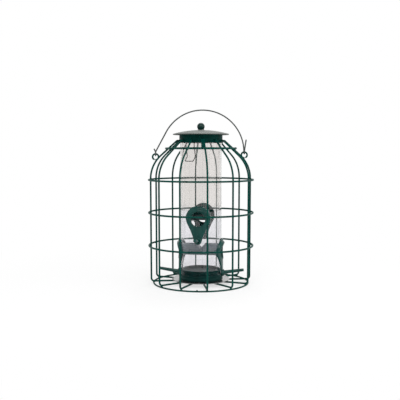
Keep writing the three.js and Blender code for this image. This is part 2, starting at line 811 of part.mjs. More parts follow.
// The clip is one spring wire: two legs lie under the lid, turn down inside the tube, bow in and meet at the foot.
function lidClip() {
  const rootHeight = lidUnder(lidWasherRadius) - fitGap - clipWireRadius;
  const top = clipFootReach - clipInset.top;
  const waist = clipFootReach - clipInset.waist;
  const kneeHeight = lidUnder(top + clipBend) - fitGap - clipWireRadius;
  const leg = (side) => ({
    root: new THREE.Vector3(clipRoot.out, side * clipRoot.aside, rootHeight),
    knee: new THREE.Vector3(top, side * clipHalfWidth, kneeHeight),
    shoulder: new THREE.Vector3(top, side * clipHalfWidth, lidRimHeight - clipDrop.shoulder),
    waist: new THREE.Vector3(waist, side * clipHalfWidth, lidRimHeight - clipDrop.waist),
    foot: new THREE.Vector3(clipFootReach, side * clipHalfWidth, lidRimHeight - clipDrop.foot),
  });
  const near = leg(-1);
  const far = leg(1);
  const route = new WireRoute(near.root, near.knee.clone().sub(near.root))
    .round(near.knee, near.shoulder, clipBend)
    .round(near.shoulder, near.waist, clipBend)
    .round(near.waist, near.foot, clipBend)
    .round(near.foot, far.foot, clipBend)
    .round(far.foot, far.waist, clipBend)
    .round(far.waist, far.shoulder, clipBend)
    .round(far.shoulder, far.knee, clipBend)
    .round(far.knee, far.root, clipBend)
    .runTo(far.root);
  return bentWire(route, clipWireRadius).rotateZ(facing(clipAzimuth));
}

function lidAssembly() {
  const clipBottom = lidUnder(lidWasherRadius) - fitGap - 2 * clipWireRadius;
  const washerBottom = clipBottom - fitGap - washerThickness;
  const headBottom = washerBottom - fitGap - screwHeadHeight;
  const tip = lidTopHeight + knobBoreDepth;
  const group = new THREE.Group();
  group.add(named("lid", lid(), greenPaint));
  group.add(named("knob", knob(), greenPlastic));
  group.add(named("lid_clip", lidClip(), springSteel));
  group.add(named("lid_washer", washer(lidWasherRadius, washerBottom), galvanised));
  group.add(named("knob_screw", screw(headBottom, tip), galvanised));
  return group;
}

function cage() {
  const group = new THREE.Group();
  group.add(cageWires(), cageRings());
  group.add(named("eye_right", bailEye(rightEye, 1), greenPaint));
  group.add(named("eye_left", bailEye(leftEye, -1), greenPaint));
  group.add(named("collar", collar(), greenPaint));
  group.add(named("base_plate", basePlate(), galvanised));
  return group;
}

function seedHolder() {
  const group = new THREE.Group();
  group.add(named("seed_tube", seedTube(), clearPlastic));
  group.add(named("base_cup", baseCup(), greenPlastic));
  group.add(feedingPorts(), baseFastening());
  return group;
}

const feeder = new THREE.Group();
feeder.add(cage(), seedHolder(), lidAssembly());
feeder.add(named("bail_handle", bailHandle(), greenPaint));

export default feeder;
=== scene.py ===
"""A caged seed feeder for garden birds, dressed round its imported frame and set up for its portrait.

All sizes are in metres in the frame's own axes: +Z up along the seed tube, -Y the front, +X the right.
An azimuth is an angle round the tube's axis from the front towards the right.
"""

import logging
import math
from collections.abc import Iterable, Mapping, Sequence
from dataclasses import dataclass, field
from enum import Enum, IntEnum
from functools import cached_property

import bmesh
import bpy
from mathutils import Matrix, Quaternion, Vector


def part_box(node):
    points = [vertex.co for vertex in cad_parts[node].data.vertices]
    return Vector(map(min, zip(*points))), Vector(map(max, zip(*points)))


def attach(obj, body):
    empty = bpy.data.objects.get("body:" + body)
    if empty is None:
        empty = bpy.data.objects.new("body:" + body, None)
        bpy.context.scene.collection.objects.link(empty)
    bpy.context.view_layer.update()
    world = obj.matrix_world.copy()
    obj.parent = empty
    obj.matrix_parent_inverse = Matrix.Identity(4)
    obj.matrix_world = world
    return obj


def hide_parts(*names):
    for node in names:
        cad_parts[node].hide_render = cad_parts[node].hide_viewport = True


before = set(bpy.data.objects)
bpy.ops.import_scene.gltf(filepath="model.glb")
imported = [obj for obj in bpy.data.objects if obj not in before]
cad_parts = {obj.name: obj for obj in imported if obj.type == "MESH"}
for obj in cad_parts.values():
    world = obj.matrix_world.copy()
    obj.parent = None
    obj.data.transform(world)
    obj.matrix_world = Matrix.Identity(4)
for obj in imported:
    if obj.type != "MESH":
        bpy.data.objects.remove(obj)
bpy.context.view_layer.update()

log = logging.getLogger("feeder")

UP = Vector((0.0, 0.0, 1.0))
BACK = Vector((0.0, 1.0, 0.0))
OUT = Vector((1.0, 0.0, 0.0))
QUARTER = math.pi / 2
FULL_TURN = 2 * math.pi

# Radii that round the edges of the turned pieces
CRISP = 0.0002
FINE = 0.0003
SMALL = 0.0004
SOFT = 0.0006
ROUND = 0.0009

# Edges that turn more than these stay sharp in the shading of turned, cut and swept forms
SHARP_TURN = math.radians(38)
SHARP_CUT = math.radians(35)
SHARP_SWEEP = math.radians(50)

SCREW_HOLE = 0.0023

Pair = tuple[float, float]
Corner = tuple[float, float, float]
Colour = tuple[float, float, float]
Socket = bpy.types.NodeSocket


class Body(Enum):
    """The rigid bodies of the frame."""

    CAGE = "cage"
    LID = "lid"
    BAIL = "bail"


class Place(Enum):
    """Where the four feeding ports stand: the azimuth in degrees."""

    UPPER_FRONT = -15.0
    UPPER_REAR = 165.0
    LOWER_RIGHT = 75.0
    LOWER_LEFT = 255.0

    @property
    def azimuth(self) -> float:
        """The azimuth in radians."""
        return math.radians(self.value)

    @property
    def node_ending(self) -> str:
        """The end of the names of the frame's nodes at this place."""
        return self.name.lower()


class Facets(IntEnum):
    """How many facets a round form has, named by a piece that is as large."""

    PEG = 32
    SCREW = 48
    KNOB = 64
    FLOOR = 96
    CUP = 128
    TUBE = 144
    LID = 160
    RING = 180


# Shared shape tools


def facing(azimuth: float) -> Matrix:
    """The turn that takes a piece made facing +X to this azimuth."""
    return Matrix.Rotation(azimuth - QUARTER, 4, "Z")


def on_arc(radius: float, angle: float, rise: float = 0.0) -> Vector:
    """The point at an angle of a circle whose middle stands a rise above the origin."""
    return Vector((radius * math.cos(angle), rise + radius * math.sin(angle)))


def circle(radius: float, height: float, count: int) -> list[Vector]:
    """Points at even steps round the Z axis."""
    angles = (FULL_TURN * j / count for j in range(count))
    return [Vector((radius * math.cos(a), radius * math.sin(a), height)) for a in angles]


def eased(corners: Sequence[Corner], steps: int = 4) -> list[Pair]:
    """Rounds the corners of a closed profile.

    Args:
        corners: Each corner as two coordinates and the radius that rounds it.
        steps: Facets in each rounded corner.

    Returns:
        The profile's points.
    """
    points: list[Pair] = []
    for i, (x, y, radius) in enumerate(corners):
        if radius <= 0:
            points.append((x, y))
            continue
        here = Vector((x, y))
        before = (Vector(corners[i - 1][:2]) - here).normalized()
        after = (Vector(corners[(i + 1) % len(corners)][:2]) - here).normalized()
        half = before.angle(after) / 2
        centre = here + (before + after).normalized() * (radius / math.sin(half))
        start = here + before * (radius / math.tan(half)) - centre
        end = here + after * (radius / math.tan(half)) - centre
        turn = start.angle_signed(end)
        for step in range(steps + 1):
            angle = -turn * step / steps
            cos, sin = math.cos(angle), math.sin(angle)
            spoke = Vector((start.x * cos - start.y * sin, start.x * sin + start.y * cos))
            points.append(tuple(centre + spoke))
    return points


class Draft:
    """The vertices and faces of one piece, gathered one closed form at a time."""

    def __init__(self) -> None:
        """Starts an empty draft."""
        self.vertices: list[Vector] = []
        self.faces: list[list[int]] = []

    def add(self, points: Iterable[Vector]) -> list[int]:
        """Adds points.

        Args:
            points: The points.

        Returns:
            Their numbers.
        """
        start = len(self.vertices)
        self.vertices.extend(Vector(p) for p in points)
        return list(range(start, len(self.vertices)))

    def bridge(self, low: Sequence[int], high: Sequence[int], closed: bool = True) -> None:
        """Adds the faces between two rows of points.

        Args:
            low: Numbers of one row's points. A row of one point is a tip.
            high: Numbers of the other row's points.
            closed: Whether the last point of each row joins its first.
        """
        count = max(len(low), len(high))
        for j in range(count if closed else count - 1):
            k = (j + 1) % count
            corners = [low[j % len(low)], low[k % len(low)], high[k % len(high)], high[j % len(high)]]
            self.faces.append(list(dict.fromkeys(corners)))

    def sleeve(self, rings: Sequence[Sequence[int]], closed: bool) -> None:
        """Bridges each ring of points to the next, and the last to the first where the sleeve is closed.

        Args:
            rings: The numbers of each ring's points.
            closed: Whether the last ring joins the first.
        """
        for low, high in zip(rings, rings[1:]):
            self.bridge(low, high)
        if closed:
            self.bridge(rings[-1], rings[0])

    def lathe(
        self, corners: Sequence[Corner], facets: int, place: Matrix = Matrix(), steps: int = 4
    ) -> None:
        """Turns a profile round the Z axis.

        Args:
            corners: Radius, height and rounding, of a profile that ends on the axis or closes on itself.
            facets: Facets round the axis.
            place: Where the turned form goes.
            steps: Facets in each rounded corner.
        """
        rings = []
        for radius, height in eased(corners, steps):
            ring = circle(radius, height, facets if radius > 0 else 1)
            rings.append(self.add(place @ p for p in ring))
        self.sleeve(rings, closed=len(rings[0]) > 1)

    def prism(self, outline: Sequence[Pair], low: float, high: float, place: Matrix = Matrix()) -> None:
        """Adds a prism on a closed outline in the XY plane, between two heights.

        Args:
            outline: The outline's corners.
            low: Height of its foot.
            high: Height of its top.
            place: Where the prism goes.
        """
        foot, top = (self.add([place @ Vector((x, y, z)) for x, y in outline]) for z in (low, high))
        self.bridge(foot, top)
        self.faces += [foot[::-1], top]

    def to_object(self, name: str, sharp_angle: float = SHARP_TURN) -> bpy.types.Object:
        """Makes the draft an object at the origin, with its faces pointing outwards.

        Args:
            name: The object's name.
            sharp_angle: Edges that turn more than this stay sharp in the shading.

        Returns:
            The object.
        """
        mesh = bpy.data.meshes.new(name)
        shape = bmesh.new()
        made = [shape.verts.new(v) for v in self.vertices]
        for face in self.faces:
            shape.faces.new([made[i] for i in face])
        bmesh.ops.recalc_face_normals(shape, faces=shape.faces)
        shape.to_mesh(mesh)
        shape.free()
        thing = put(name, mesh)
        shade(thing, sharp_angle)
        weigh_normals(thing)
        return thing


def put(name: str, data: bpy.types.ID) -> bpy.types.Object:
    """Puts an object with this data in the scene, at the origin.

    Args:
        name: The object's name.
        data: Its mesh, curve, camera or lamp.

    Returns:
        The object.
    """
    thing = bpy.data.objects.new(name, data)
    bpy.context.scene.collection.objects.link(thing)
    return thing


def plain_mesh(thing: bpy.types.Object) -> bpy.types.Mesh:
    """What an object is with its modifiers, as a plain mesh.

    Args:
        thing: The object.

    Returns:
        The mesh, under the object's name.
    """
    depsgraph = bpy.context.evaluated_depsgraph_get()
    mesh = bpy.data.meshes.new_from_object(thing.evaluated_get(depsgraph))
    mesh.name = thing.name
    return mesh


def settle(thing: bpy.types.Object) -> None:
    """Makes an object's modifiers part of its plain mesh and takes them off.

    Args:
        thing: The object.
    """
    mesh = plain_mesh(thing)
    thing.modifiers.clear()
    thing.data = mesh


def shade(thing: bpy.types.Object, sharp_angle: float) -> None:
    """Shades an object smooth and keeps the edges sharp that turn more than an angle.

    Args:
        thing: The object.
        sharp_angle: The angle.
    """
    shape = bmesh.new()
    shape.from_mesh(thing.data)
    for face in shape.faces:
        face.smooth = True
    for edge in shape.edges:
        edge.smooth = len(edge.link_faces) == 2 and edge.calc_face_angle() < sharp_angle
    shape.to_mesh(thing.data)
    shape.free()


def weigh_normals(thing: bpy.types.Object, weight: int = 100) -> None:
    """Lets large faces keep their own normals, so that rounded edges don't bend their shading.

    Args:
        thing: The object.
        weight: How strongly large faces count, where 50 is neutral.
    """
    step = thing.modifiers.new("weighted", "WEIGHTED_NORMAL")
    step.keep_sharp = True
    step.weight = weight
    settle(thing)


def cut(thing: bpy.types.Object, tools: Sequence[bpy.types.Object]) -> None:
    """Cuts tools out of an object, shades it again and removes the tools.

    Args:
        thing: The object that stays.
        tools: The objects that are used up.
    """
    for tool in tools:
        step = thing.modifiers.new("cut", "BOOLEAN")
        step.operation = "DIFFERENCE"
        step.solver = "EXACT"
        step.object = tool
    settle(thing)
    for tool in tools:
        bpy.data.objects.remove(tool)
    shade(thing, SHARP_CUT)
    weigh_normals(thing)


class WirePath:
    """The centre line of a bent wire, laid from one end as it is bent on a jig."""

    arc_step = math.radians(5)
    least_run = 1e-7

    def __init__(self, start: Vector, heading: Vector) -> None:
        """Starts the wire at a point, on a heading."""
        self.points: list[Vector] = [start.copy()]
        self.heading = heading.normalized()

    @property
    def end(self) -> Vector:
        """The last point laid."""
        return self.points[-1]

    def run_to(self, point: Vector) -> "WirePath":
        """Lays a straight run to a point.

        Args:
            point: The point.

        Returns:
            This path.
        """
        if (point - self.end).length > self.least_run:
            self.heading = (point - self.end).normalized()
            self.points.append(point.copy())
        return self

    def arc(self, centre: Vector, axis: Vector, angle: float) -> "WirePath":
        """Bends the wire round a centre.

        Args:
            centre: Centre of the bend.
            axis: The bend's axis, by the right-hand rule.
            angle: How far it turns.

        Returns:
            This path.
        """
        spoke = self.end - centre
        steps = max(2, math.ceil(angle / self.arc_step))
        for i in range(1, steps + 1):
            self.points.append(centre + Quaternion(axis, angle * i / steps) @ spoke)
        self.heading = Quaternion(axis, angle) @ self.heading
        return self

    def bend(self, corner: Vector, following: Vector, radius: float) -> "WirePath":
        """Runs towards a corner and rounds it, to head for the following point.

        Args:
            corner: Where the two straight runs would meet.
            following: The point that the wire heads for after the corner.
            radius: The bend's radius.

        Returns:
            This path.
        """
        out = (following - corner).normalized()
        turn = self.heading.angle(out)
        axis = self.heading.cross(out).normalized()
        start = corner - self.heading * (radius * math.tan(turn / 2))
        centre = start + axis.cross(self.heading) * radius
        heading = self.heading.copy()
        self.run_to(start)
        self.heading = heading
        return self.arc(centre, axis, turn)


# Node trees


def socket(sockets: Iterable[Socket], identifier: str) -> Socket:
    """The one of a node's sockets with this identifier, where several share a name."""
    return next(s for s in sockets if s.identifier == identifier)


class NodeTree:
    """A node tree, with short calls for what the trees share."""

    def __init__(self, tree: bpy.types.NodeTree) -> None:
        """Takes a tree and empties it."""
        self.tree = tree
        tree.nodes.clear()

    def feed(self, target: Socket, source: object) -> None:
        """Links an input to a socket, or sets it to any other value.

        Args:
            target: The input.
            source: The socket or the value.
        """
        if isinstance(source, Socket):
            self.tree.links.new(source, target)
        else:
            target.default_value = source

    def node(
        self, kind: str, feeds: Mapping[str | int, object] | None = None, **settings: object
    ) -> bpy.types.Node:
        """Adds a node.

        Args:
            kind: Its type.
            feeds: The socket or value for each of its inputs, by name or number.
            settings: Its own settings.

        Returns:
            The node.
        """
        made = self.tree.nodes.new(kind)
        for key, value in settings.items():
            setattr(made, key, value)
        for key, source in (feeds or {}).items():
            self.feed(made.inputs[key], source)
        return made

    def blend(self, share: Socket, first: Socket, second: Socket) -> Socket:
        """Mixes two shaders by the share of the second."""
        return self.node("ShaderNodeMixShader", {0: share, 1: first, 2: second}).outputs["Shader"]

    def sight(self) -> Socket:
        """1 for a ray of sight, straight or by way of gloss or clear plastic, and 0 for a ray of light.

        Returns:
            The socket of that share.
        """
        rays = self.node("ShaderNodeLightPath").outputs
        straight_or_gloss = self.node(
            "ShaderNodeMath", {0: rays["Is Camera Ray"], 1: rays["Is Glossy Ray"]}, operation="MAXIMUM"
        )
        feeds = {0: straight_or_gloss.outputs["Value"], 1: rays["Is Transmission Ray"]}
        return self.node("ShaderNodeMath", feeds, operation="MAXIMUM").outputs["Value"]


class GeometryTree(NodeTree):
    """A geometry node tree with named inlets, the last of them the finish for what it makes."""

    def __init__(self, name: str, **inlets: str) -> None:
        """Starts the tree.

        Args:
            name: The tree's name.
            inlets: The kind of each inlet, by its name with _ for a blank.
        """
        super().__init__(bpy.data.node_groups.new(name, "GeometryNodeTree"))
        face = self.tree.interface
        for way in ("INPUT", "OUTPUT"):
            face.new_socket("Geometry", in_out=way, socket_type="NodeSocketGeometry")
        self.keys: dict[str, str] = {}
        for key, kind in {**inlets, "finish": "Material"}.items():
            title = key.replace("_", " ").title()
            made = face.new_socket(title, in_out="INPUT", socket_type=f"NodeSocket{kind}")
            self.keys[key] = made.identifier
        self.inlet = self.node("NodeGroupInput").outputs

    def send_out(self, made: Socket) -> None:
        """Smooths what the tree made, makes it real, dresses it and sends it out.

        Args:
            made: The socket that gives it.
        """
        smooth = self.node("GeometryNodeSetShadeSmooth", {"Geometry": made})
        real = self.node("GeometryNodeRealizeInstances", {"Geometry": smooth.outputs["Geometry"]})
        dress = self.node(
            "GeometryNodeSetMaterial",
            {"Geometry": real.outputs["Geometry"], "Material": self.inlet["Finish"]},
        )
        self.node("NodeGroupOutput", {"Geometry": dress.outputs["Geometry"]})

    def grow(self, name: str, start: bpy.types.ID, **values: object) -> bpy.types.Object:
        """Runs the tree.

        Args:
            name: Name of the object that it makes.
            start: The curve or mesh that it starts from.
            values: A value for each inlet.

        Returns:
            What the tree makes, as a plain mesh object.
        """
        thing = put(name, start)
        step = thing.modifiers.new("grow", "NODES")
        step.node_group = self.tree
        for key, value in values.items():
            step[self.keys[key]] = value
        mesh = plain_mesh(thing)
        bpy.data.objects.remove(thing)
        return put(name, mesh)


class SweepTree(GeometryTree):
    """A tree that gives a centre line the round section of a wire."""

    end_ease = 0.35
    end_places = (0.0, 0.4, 1.0)
    end_shares = (0.72, 0.92, 1.0)

    def __init__(self) -> None:
        """Builds the tree."""
        super().__init__("wire_sweep", wire_radius="Float", sides="Int")
        section = self.node(
            "GeometryNodeCurvePrimitiveCircle",
            {"Resolution": self.inlet["Sides"], "Radius": self.inlet["Wire Radius"]},
        )
        taper = self.node("GeometryNodeInputNamedAttribute", {"Name": "radius"})
        sweep = self.node(
            "GeometryNodeCurveToMesh",
            {
                "Curve": self.inlet["Geometry"],
                "Profile Curve": section.outputs["Curve"],
                "Scale": taper.outputs["Attribute"],
                "Fill Caps": True,
            },
        )
        self.send_out(sweep.outputs["Mesh"])

    def sweep(
        self,
        name: str,
        points: Sequence[Vector],
        radius: float,
        finish: "Finish",
        closed: bool = False,
        sides: int = 16,
    ) -> bpy.types.Object:
        """Makes a wire along a centre line.

        Args:
            name: The object's name.
            points: The centre line.
            radius: The wire's radius.
            finish: The wire's finish.
            closed: Whether the wire is a closed ring.
            sides: Sides of its section.

        Returns:
            The wire as a plain mesh object. An open wire has eased ends.
        """
        line, tapers = (list(points), [1.0] * len(points)) if closed else self.ease_ends(points, radius)
        curve = bpy.data.curves.new(name, "CURVE")
        curve.dimensions = "3D"
        spline = curve.splines.new("POLY")
        spline.points.add(len(line) - 1)
        for point, place, taper in zip(spline.points, line, tapers):
            point.co = (*place, 1.0)
            point.radius = taper
        spline.use_cyclic_u = closed
        wire = self.grow(name, curve, wire_radius=radius, sides=sides, finish=finish.material)
        shade(wire, SHARP_SWEEP)
        return wire

    def ease_ends(self, line: Sequence[Vector], radius: float) -> tuple[list[Vector], list[float]]:
        """Adds the points that round off a cut wire's two ends.

        Args:
            line: The centre line.
            radius: The wire's radius.

        Returns:
            The longer line and the share of the radius at each of its points.
        """
        ends = []
        for tip, neighbour in ((line[0], line[1]), (line[-1], line[-2])):
            out = (tip - neighbour).normalized() * (self.end_ease * radius)
            ends.append([tip - out * place for place in self.end_places])
        shares = [*self.end_shares, *[1.0] * (len(line) - 2), *reversed(self.end_shares)]
        return [*ends[0], *line[1:-1], *reversed(ends[1])], shares


class WeldTree(GeometryTree):
    """A tree that sets a small flattened bead of weld on each point of a mesh."""

    size_spread = 0.12
    subdivisions = 2

    def __init__(self) -> None:
        """Builds the tree."""
        super().__init__(
            "weld_beads", bead_radius="Float", height_share="Float", spread="Float", seed="Int"
        )
        inlet = self.inlet
        bead = self.node(
            "GeometryNodeMeshIcoSphere", {"Radius": inlet["Bead Radius"], "Subdivisions": self.subdivisions}
        )
        normal = self.node(
            "GeometryNodeInputNamedAttribute", {"Name": "bead_normal"}, data_type="FLOAT_VECTOR"
        )
        facing_out = {"Vector": normal.outputs["Attribute"]}
        aim = self.node("FunctionNodeAlignRotationToVector", facing_out, axis="Z")
        chance = self.node("FunctionNodeRandomValue", {"Seed": inlet["Seed"]}, data_type="FLOAT")
        for operation, limit in (("SUBTRACT", "Min_001"), ("ADD", "Max_001")):
            share = self.node("ShaderNodeMath", {0: 1.0, 1: inlet["Spread"]}, operation=operation)
            self.feed(socket(chance.inputs, limit), share.outputs["Value"])
        factor = socket(chance.outputs, "Value_001")
        flatten = self.node("ShaderNodeMath", {0: factor, 1: inlet["Height Share"]}, operation="MULTIPLY")
        size = self.node("ShaderNodeCombineXYZ", {"X": factor, "Y": factor, "Z": flatten.outputs["Value"]})
        placed = self.node(
            "GeometryNodeInstanceOnPoints",
            {
                "Points": inlet["Geometry"],
                "Instance": bead.outputs["Mesh"],
                "Rotation": aim.outputs["Rotation"],
                "Scale": size.outputs["Vector"],
            },
        )
        self.send_out(placed.outputs["Instances"])

    def beads(
        self,
        name: str,
        places: Sequence[tuple[Vector, Vector]],
        radius: float,
        height_share: float,
        finish: "Finish",
        seed: int,
    ) -> bpy.types.Object:
        """Sets weld beads.

        Args:
            name: The object's name.
            places: Each bead's centre, and the direction in which it is flat.
            radius: The beads' radius.
            height_share: Their half height as a share of the radius.
            finish: Their finish.
            seed: Seed of their small differences.

        Returns:
            The beads as one plain mesh object.
        """
        mesh = bpy.data.meshes.new(name)
        mesh.from_pydata([place for place, _ in places], [], [])
        normals = mesh.attributes.new("bead_normal", "FLOAT_VECTOR", "POINT")
        for item, (_, normal) in zip(normals.data, places):
            item.vector = normal
        return self.grow(
            name,
            mesh,
            bead_radius=radius,
            height_share=height_share,
            spread=self.size_spread,
            seed=seed,
            finish=finish.material,
        )


# Finishes


class Graph(NodeTree):
    """A material's node tree, with short calls for the patterns that the finishes share."""

    def __init__(self, name: str) -> None:
        """Starts a material with one Principled shader.

        Args:
            name: The material's name.
        """
        self.material = bpy.data.materials.new(name)
        self.material.use_nodes = True
        super().__init__(self.material.node_tree)
        self.output = self.node("ShaderNodeOutputMaterial")
        self.shader = self.node("ShaderNodeBsdfPrincipled")
        self.show(self.shader.outputs["BSDF"])
        self.place = self.node("ShaderNodeTexCoord").outputs["Object"]

    def show(self, surface: Socket) -> None:
        """Makes a shader the material's surface."""
        self.feed(self.output.inputs["Surface"], surface)

    def shine(self, **feeds: object) -> None:
        """Feeds the shader's own inputs, named with _ for a blank.

        Args:
            feeds: The socket or value for each.
        """
        names = {entry.name.lower().replace(" ", "_"): entry for entry in self.shader.inputs}
        for key, source in feeds.items():
            self.feed(names[key], source)

    def noise(
        self, scale: float, detail: float, stretch: Corner | None = None, roughness: float = 0.5
    ) -> Socket:
        """A noise pattern.

        Args:
            scale: Cells in each metre.
            detail: Levels of finer noise.
            stretch: Scale of the place along each axis, or None.
            roughness: Weight of the finer levels.

        Returns:
            The pattern's factor socket.
        """
        place = self.place
        if stretch is not None:
            place = self.node("ShaderNodeMapping", {"Vector": place, "Scale": stretch}).outputs["Vector"]
        feeds = {"Vector": place, "Scale": scale, "Detail": detail, "Roughness": roughness}
        return self.node("ShaderNodeTexNoise", feeds).outputs["Fac"]

    def ramp(self, source: Socket, first: Colour, second: Colour, edges: Pair = (0.0, 1.0)) -> Socket:
        """Goes from a first colour to a second where a factor goes from one edge to the other.

        Args:
            source: The factor.
            first: The first colour.
            second: The second colour.
            edges: The two edges.

        Returns:
            The colour's socket.
        """
        ramp = self.node("ShaderNodeValToRGB", {"Fac": source})
        for element, edge, colour in zip(ramp.color_ramp.elements, edges, (first, second)):
            element.position = edge
            element.color = (*colour, 1.0)
        return ramp.outputs["Color"]

    def spread(
        self, source: Socket, low: float, high: float, span: Pair = (0.3, 0.7), smooth: bool = False
    ) -> Socket:
        """Spreads a span of a factor, the middle of a noise as a rule, over a range of values.

        Args:
            source: The factor.
            low: The value at the span's start.
            high: The value at its end.
            span: The span of the factor.
            smooth: Whether the values ease in and out.

        Returns:
            The socket of the values.
        """
        feeds = {"Value": source, "From Min": span[0], "From Max": span[1], "To Min": low, "To Max": high}
        kind = "SMOOTHSTEP" if smooth else "LINEAR"
        return self.node("ShaderNodeMapRange", feeds, interpolation_type=kind).outputs["Result"]

    def worn(self, pattern: Pair, roughness: float, steps: Pair) -> Socket:
        """Varies a roughness, from a step below it to a step above, by a noise of a scale and a detail."""
        return self.spread(self.noise(*pattern), roughness + steps[0], roughness + steps[1])

    def dusted(self, colour: Socket, film: "DustFilm") -> Socket:
        """Paints a pale top light, a painted highlight and painted reflection, on what faces up within a
        radius of the axis.

        Args:
            colour: The colour without the painted light.
            film: The painted top light.

        Returns:
            The colour with the painted top light.
        """
        flat = self.node("ShaderNodeVectorMath", {0: self.place, 1: (1.0, 1.0, 0.0)}, operation="MULTIPLY")
        apart = self.node("ShaderNodeVectorMath", {0: flat.outputs["Vector"]}, operation="LENGTH")
        normal = self.node("ShaderNodeNewGeometry").outputs["Normal"]
        upward = self.node("ShaderNodeSeparateXYZ", {"Vector": normal}).outputs["Z"]
        near = self.spread(apart.outputs["Value"], 1.0, 0.0, (film.radius - film.blur, film.radius))
        # Painted light: the more a face looks up, the more of the pale tint it gets
        lit_upward = self.spread(upward, 0.0, film.cover, film.slopes)
        share = self.node("ShaderNodeMath", {0: near, 1: lit_upward}, operation="MULTIPLY")
        mix = self.node("ShaderNodeMix", data_type="RGBA")
        self.feed(socket(mix.inputs, "Factor_Float"), share.outputs["Value"])
        self.feed(socket(mix.inputs, "A_Color"), colour)
        self.feed(socket(mix.inputs, "B_Color"), (*film.colour, 1.0))
        return socket(mix.outputs, "Result_Color")

    def bumps(self, *layers: tuple[Socket, float]) -> None:
        """Bumps the surface by layers of a height pattern and its depth in metres.

        Args:
            layers: Each layer's pattern and depth.
        """
        below: dict[str, Socket] = {}
        for height, depth in layers:
            feeds = {"Strength": 1.0, "Distance": depth, "Height": height, **below}
            below = {"Normal": self.node("ShaderNodeBump", feeds).outputs["Normal"]}
        self.shine(normal=below["Normal"])


@dataclass(frozen=True)
class PowderCoat:
    """Baked paint: a faint orange peel, thinner and darker in places, with or without metal flake."""

    name: str
    slot: str
    colour: Colour
    thin_colour: Colour
    roughness: float
    specular: float
    peel: float = 0.00004
    flake: float = 0.0
    clouds: Pair = (95.0, 4.0)
    cloud_edges: Pair = (0.32, 0.55)
    wear: Pair = (260.0, 3.0)
    wear_steps: Pair = (-0.06, 0.1)
    coarse_peel: Pair = (700.0, 2.0)
    fine_peel: Pair = (2600.0, 1.0)
    fine_share: float = 0.25

    def material(self) -> bpy.types.Material:
        """Builds the material.

        Returns:
            The material.
        """
        graph = Graph(self.name)
        clouds = graph.noise(*self.clouds)
        graph.shine(
            base_color=graph.ramp(clouds, self.thin_colour, self.colour, self.cloud_edges),
            roughness=graph.worn(self.wear, self.roughness, self.wear_steps),
            specular_ior_level=self.specular,
            metallic=self.flake,
        )
        graph.bumps(
            (graph.noise(*self.coarse_peel), self.peel),
            (graph.noise(*self.fine_peel), self.peel * self.fine_share),
        )
        return graph.material


@dataclass(frozen=True)
class DustFilm:
    """Painted top light and painted reflection: a pale tint on the plastic inside the tube, on what faces
    up.
    """

    radius: float = 0.033
    blur: float = 0.001
    colour: Colour = (0.16, 0.19, 0.215)
    cover: float = 0.9
    slopes: Pair = (-0.45, 0.45)


@dataclass(frozen=True)
class MouldedPlastic:
    """Injection moulded plastic: tool grain, flow lines, slight wear of the gloss and, inside the tube, a
    painted top light.
    """

    name: str
    slot: str
    colour: Colour
    deep_colour: Colour
    roughness: float
    specular: float
    film: DustFilm | None = None
    flow: tuple[float, float, Corner] = (60.0, 3.0, (1.0, 1.0, 0.35))
    flow_edges: Pair = (0.3, 0.62)
    wear: Pair = (180.0, 4.0)
    wear_steps: Pair = (-0.07, 0.09)
    fine_grain: Pair = (3400.0, 2.0)
    coarse_grain: Pair = (160.0, 2.0)
    grain_depths: Pair = (0.000018, 0.000036)

    def material(self) -> bpy.types.Material:
        """Builds the material.

        Returns:
            The material.
        """
        graph = Graph(self.name)
        colour = graph.ramp(graph.noise(*self.flow), self.deep_colour, self.colour, self.flow_edges)
        # Inside the tube, faces that look up get a painted top light and painted reflection
        if self.film is not None:
            colour = graph.dusted(colour, self.film)
        graph.shine(
            base_color=colour,
            roughness=graph.worn(self.wear, self.roughness, self.wear_steps),
            specular_ior_level=self.specular,
        )
        patterns = (graph.noise(*self.fine_grain), graph.noise(*self.coarse_grain))
        graph.bumps(*zip(patterns, self.grain_depths))
        return graph.material


@dataclass(frozen=True)
class ClearTube:
    """Clear extruded plastic with die lines: warm above, cooler below, and duller round the cup's plug."""

    name: str
    slot: str
    low_colour: Colour
    high_colour: Colour
    tint_heights: Pair = (0.112, 0.128)
    foot_heights: Pair = (0.0228, 0.0236)
    foot_refraction: float = 1.1
    refraction: float = 1.49
    roughness: float = 0.03
    along: Corner = (1.0, 1.0, 0.012)
    line_scales: Pair = (420.0, 60.0)
    line_depths: Pair = (0.000012, 0.00004)
    line_detail: float = 2.0

    def material(self) -> bpy.types.Material:
        """Builds the material.

        Returns:
            The material.
        """
        graph = Graph(self.name)
        height = graph.node("ShaderNodeSeparateXYZ", {"Vector": graph.place}).outputs["Z"]
        tint = graph.spread(height, 0.0, 1.0, self.tint_heights, smooth=True)
        # The plain index stays under the varying one, for where the link is not followed
        graph.shine(transmission_weight=1.0, ior=self.refraction, roughness=self.roughness)
        graph.shine(
            base_color=graph.ramp(tint, self.low_colour, self.high_colour),
            ior=graph.spread(height, self.foot_refraction, self.refraction, self.foot_heights),
        )
        patterns = (graph.noise(scale, self.line_detail, self.along) for scale in self.line_scales)
        graph.bumps(*zip(patterns, self.line_depths))
        passing = graph.node("ShaderNodeBsdfTransparent", {"Color": (*self.low_colour, 1.0)})
        shadow = graph.node("ShaderNodeLightPath").outputs["Is Shadow Ray"]
        graph.show(graph.blend(shadow, graph.shader.outputs["BSDF"], passing.outputs["BSDF"]))
        return graph.material


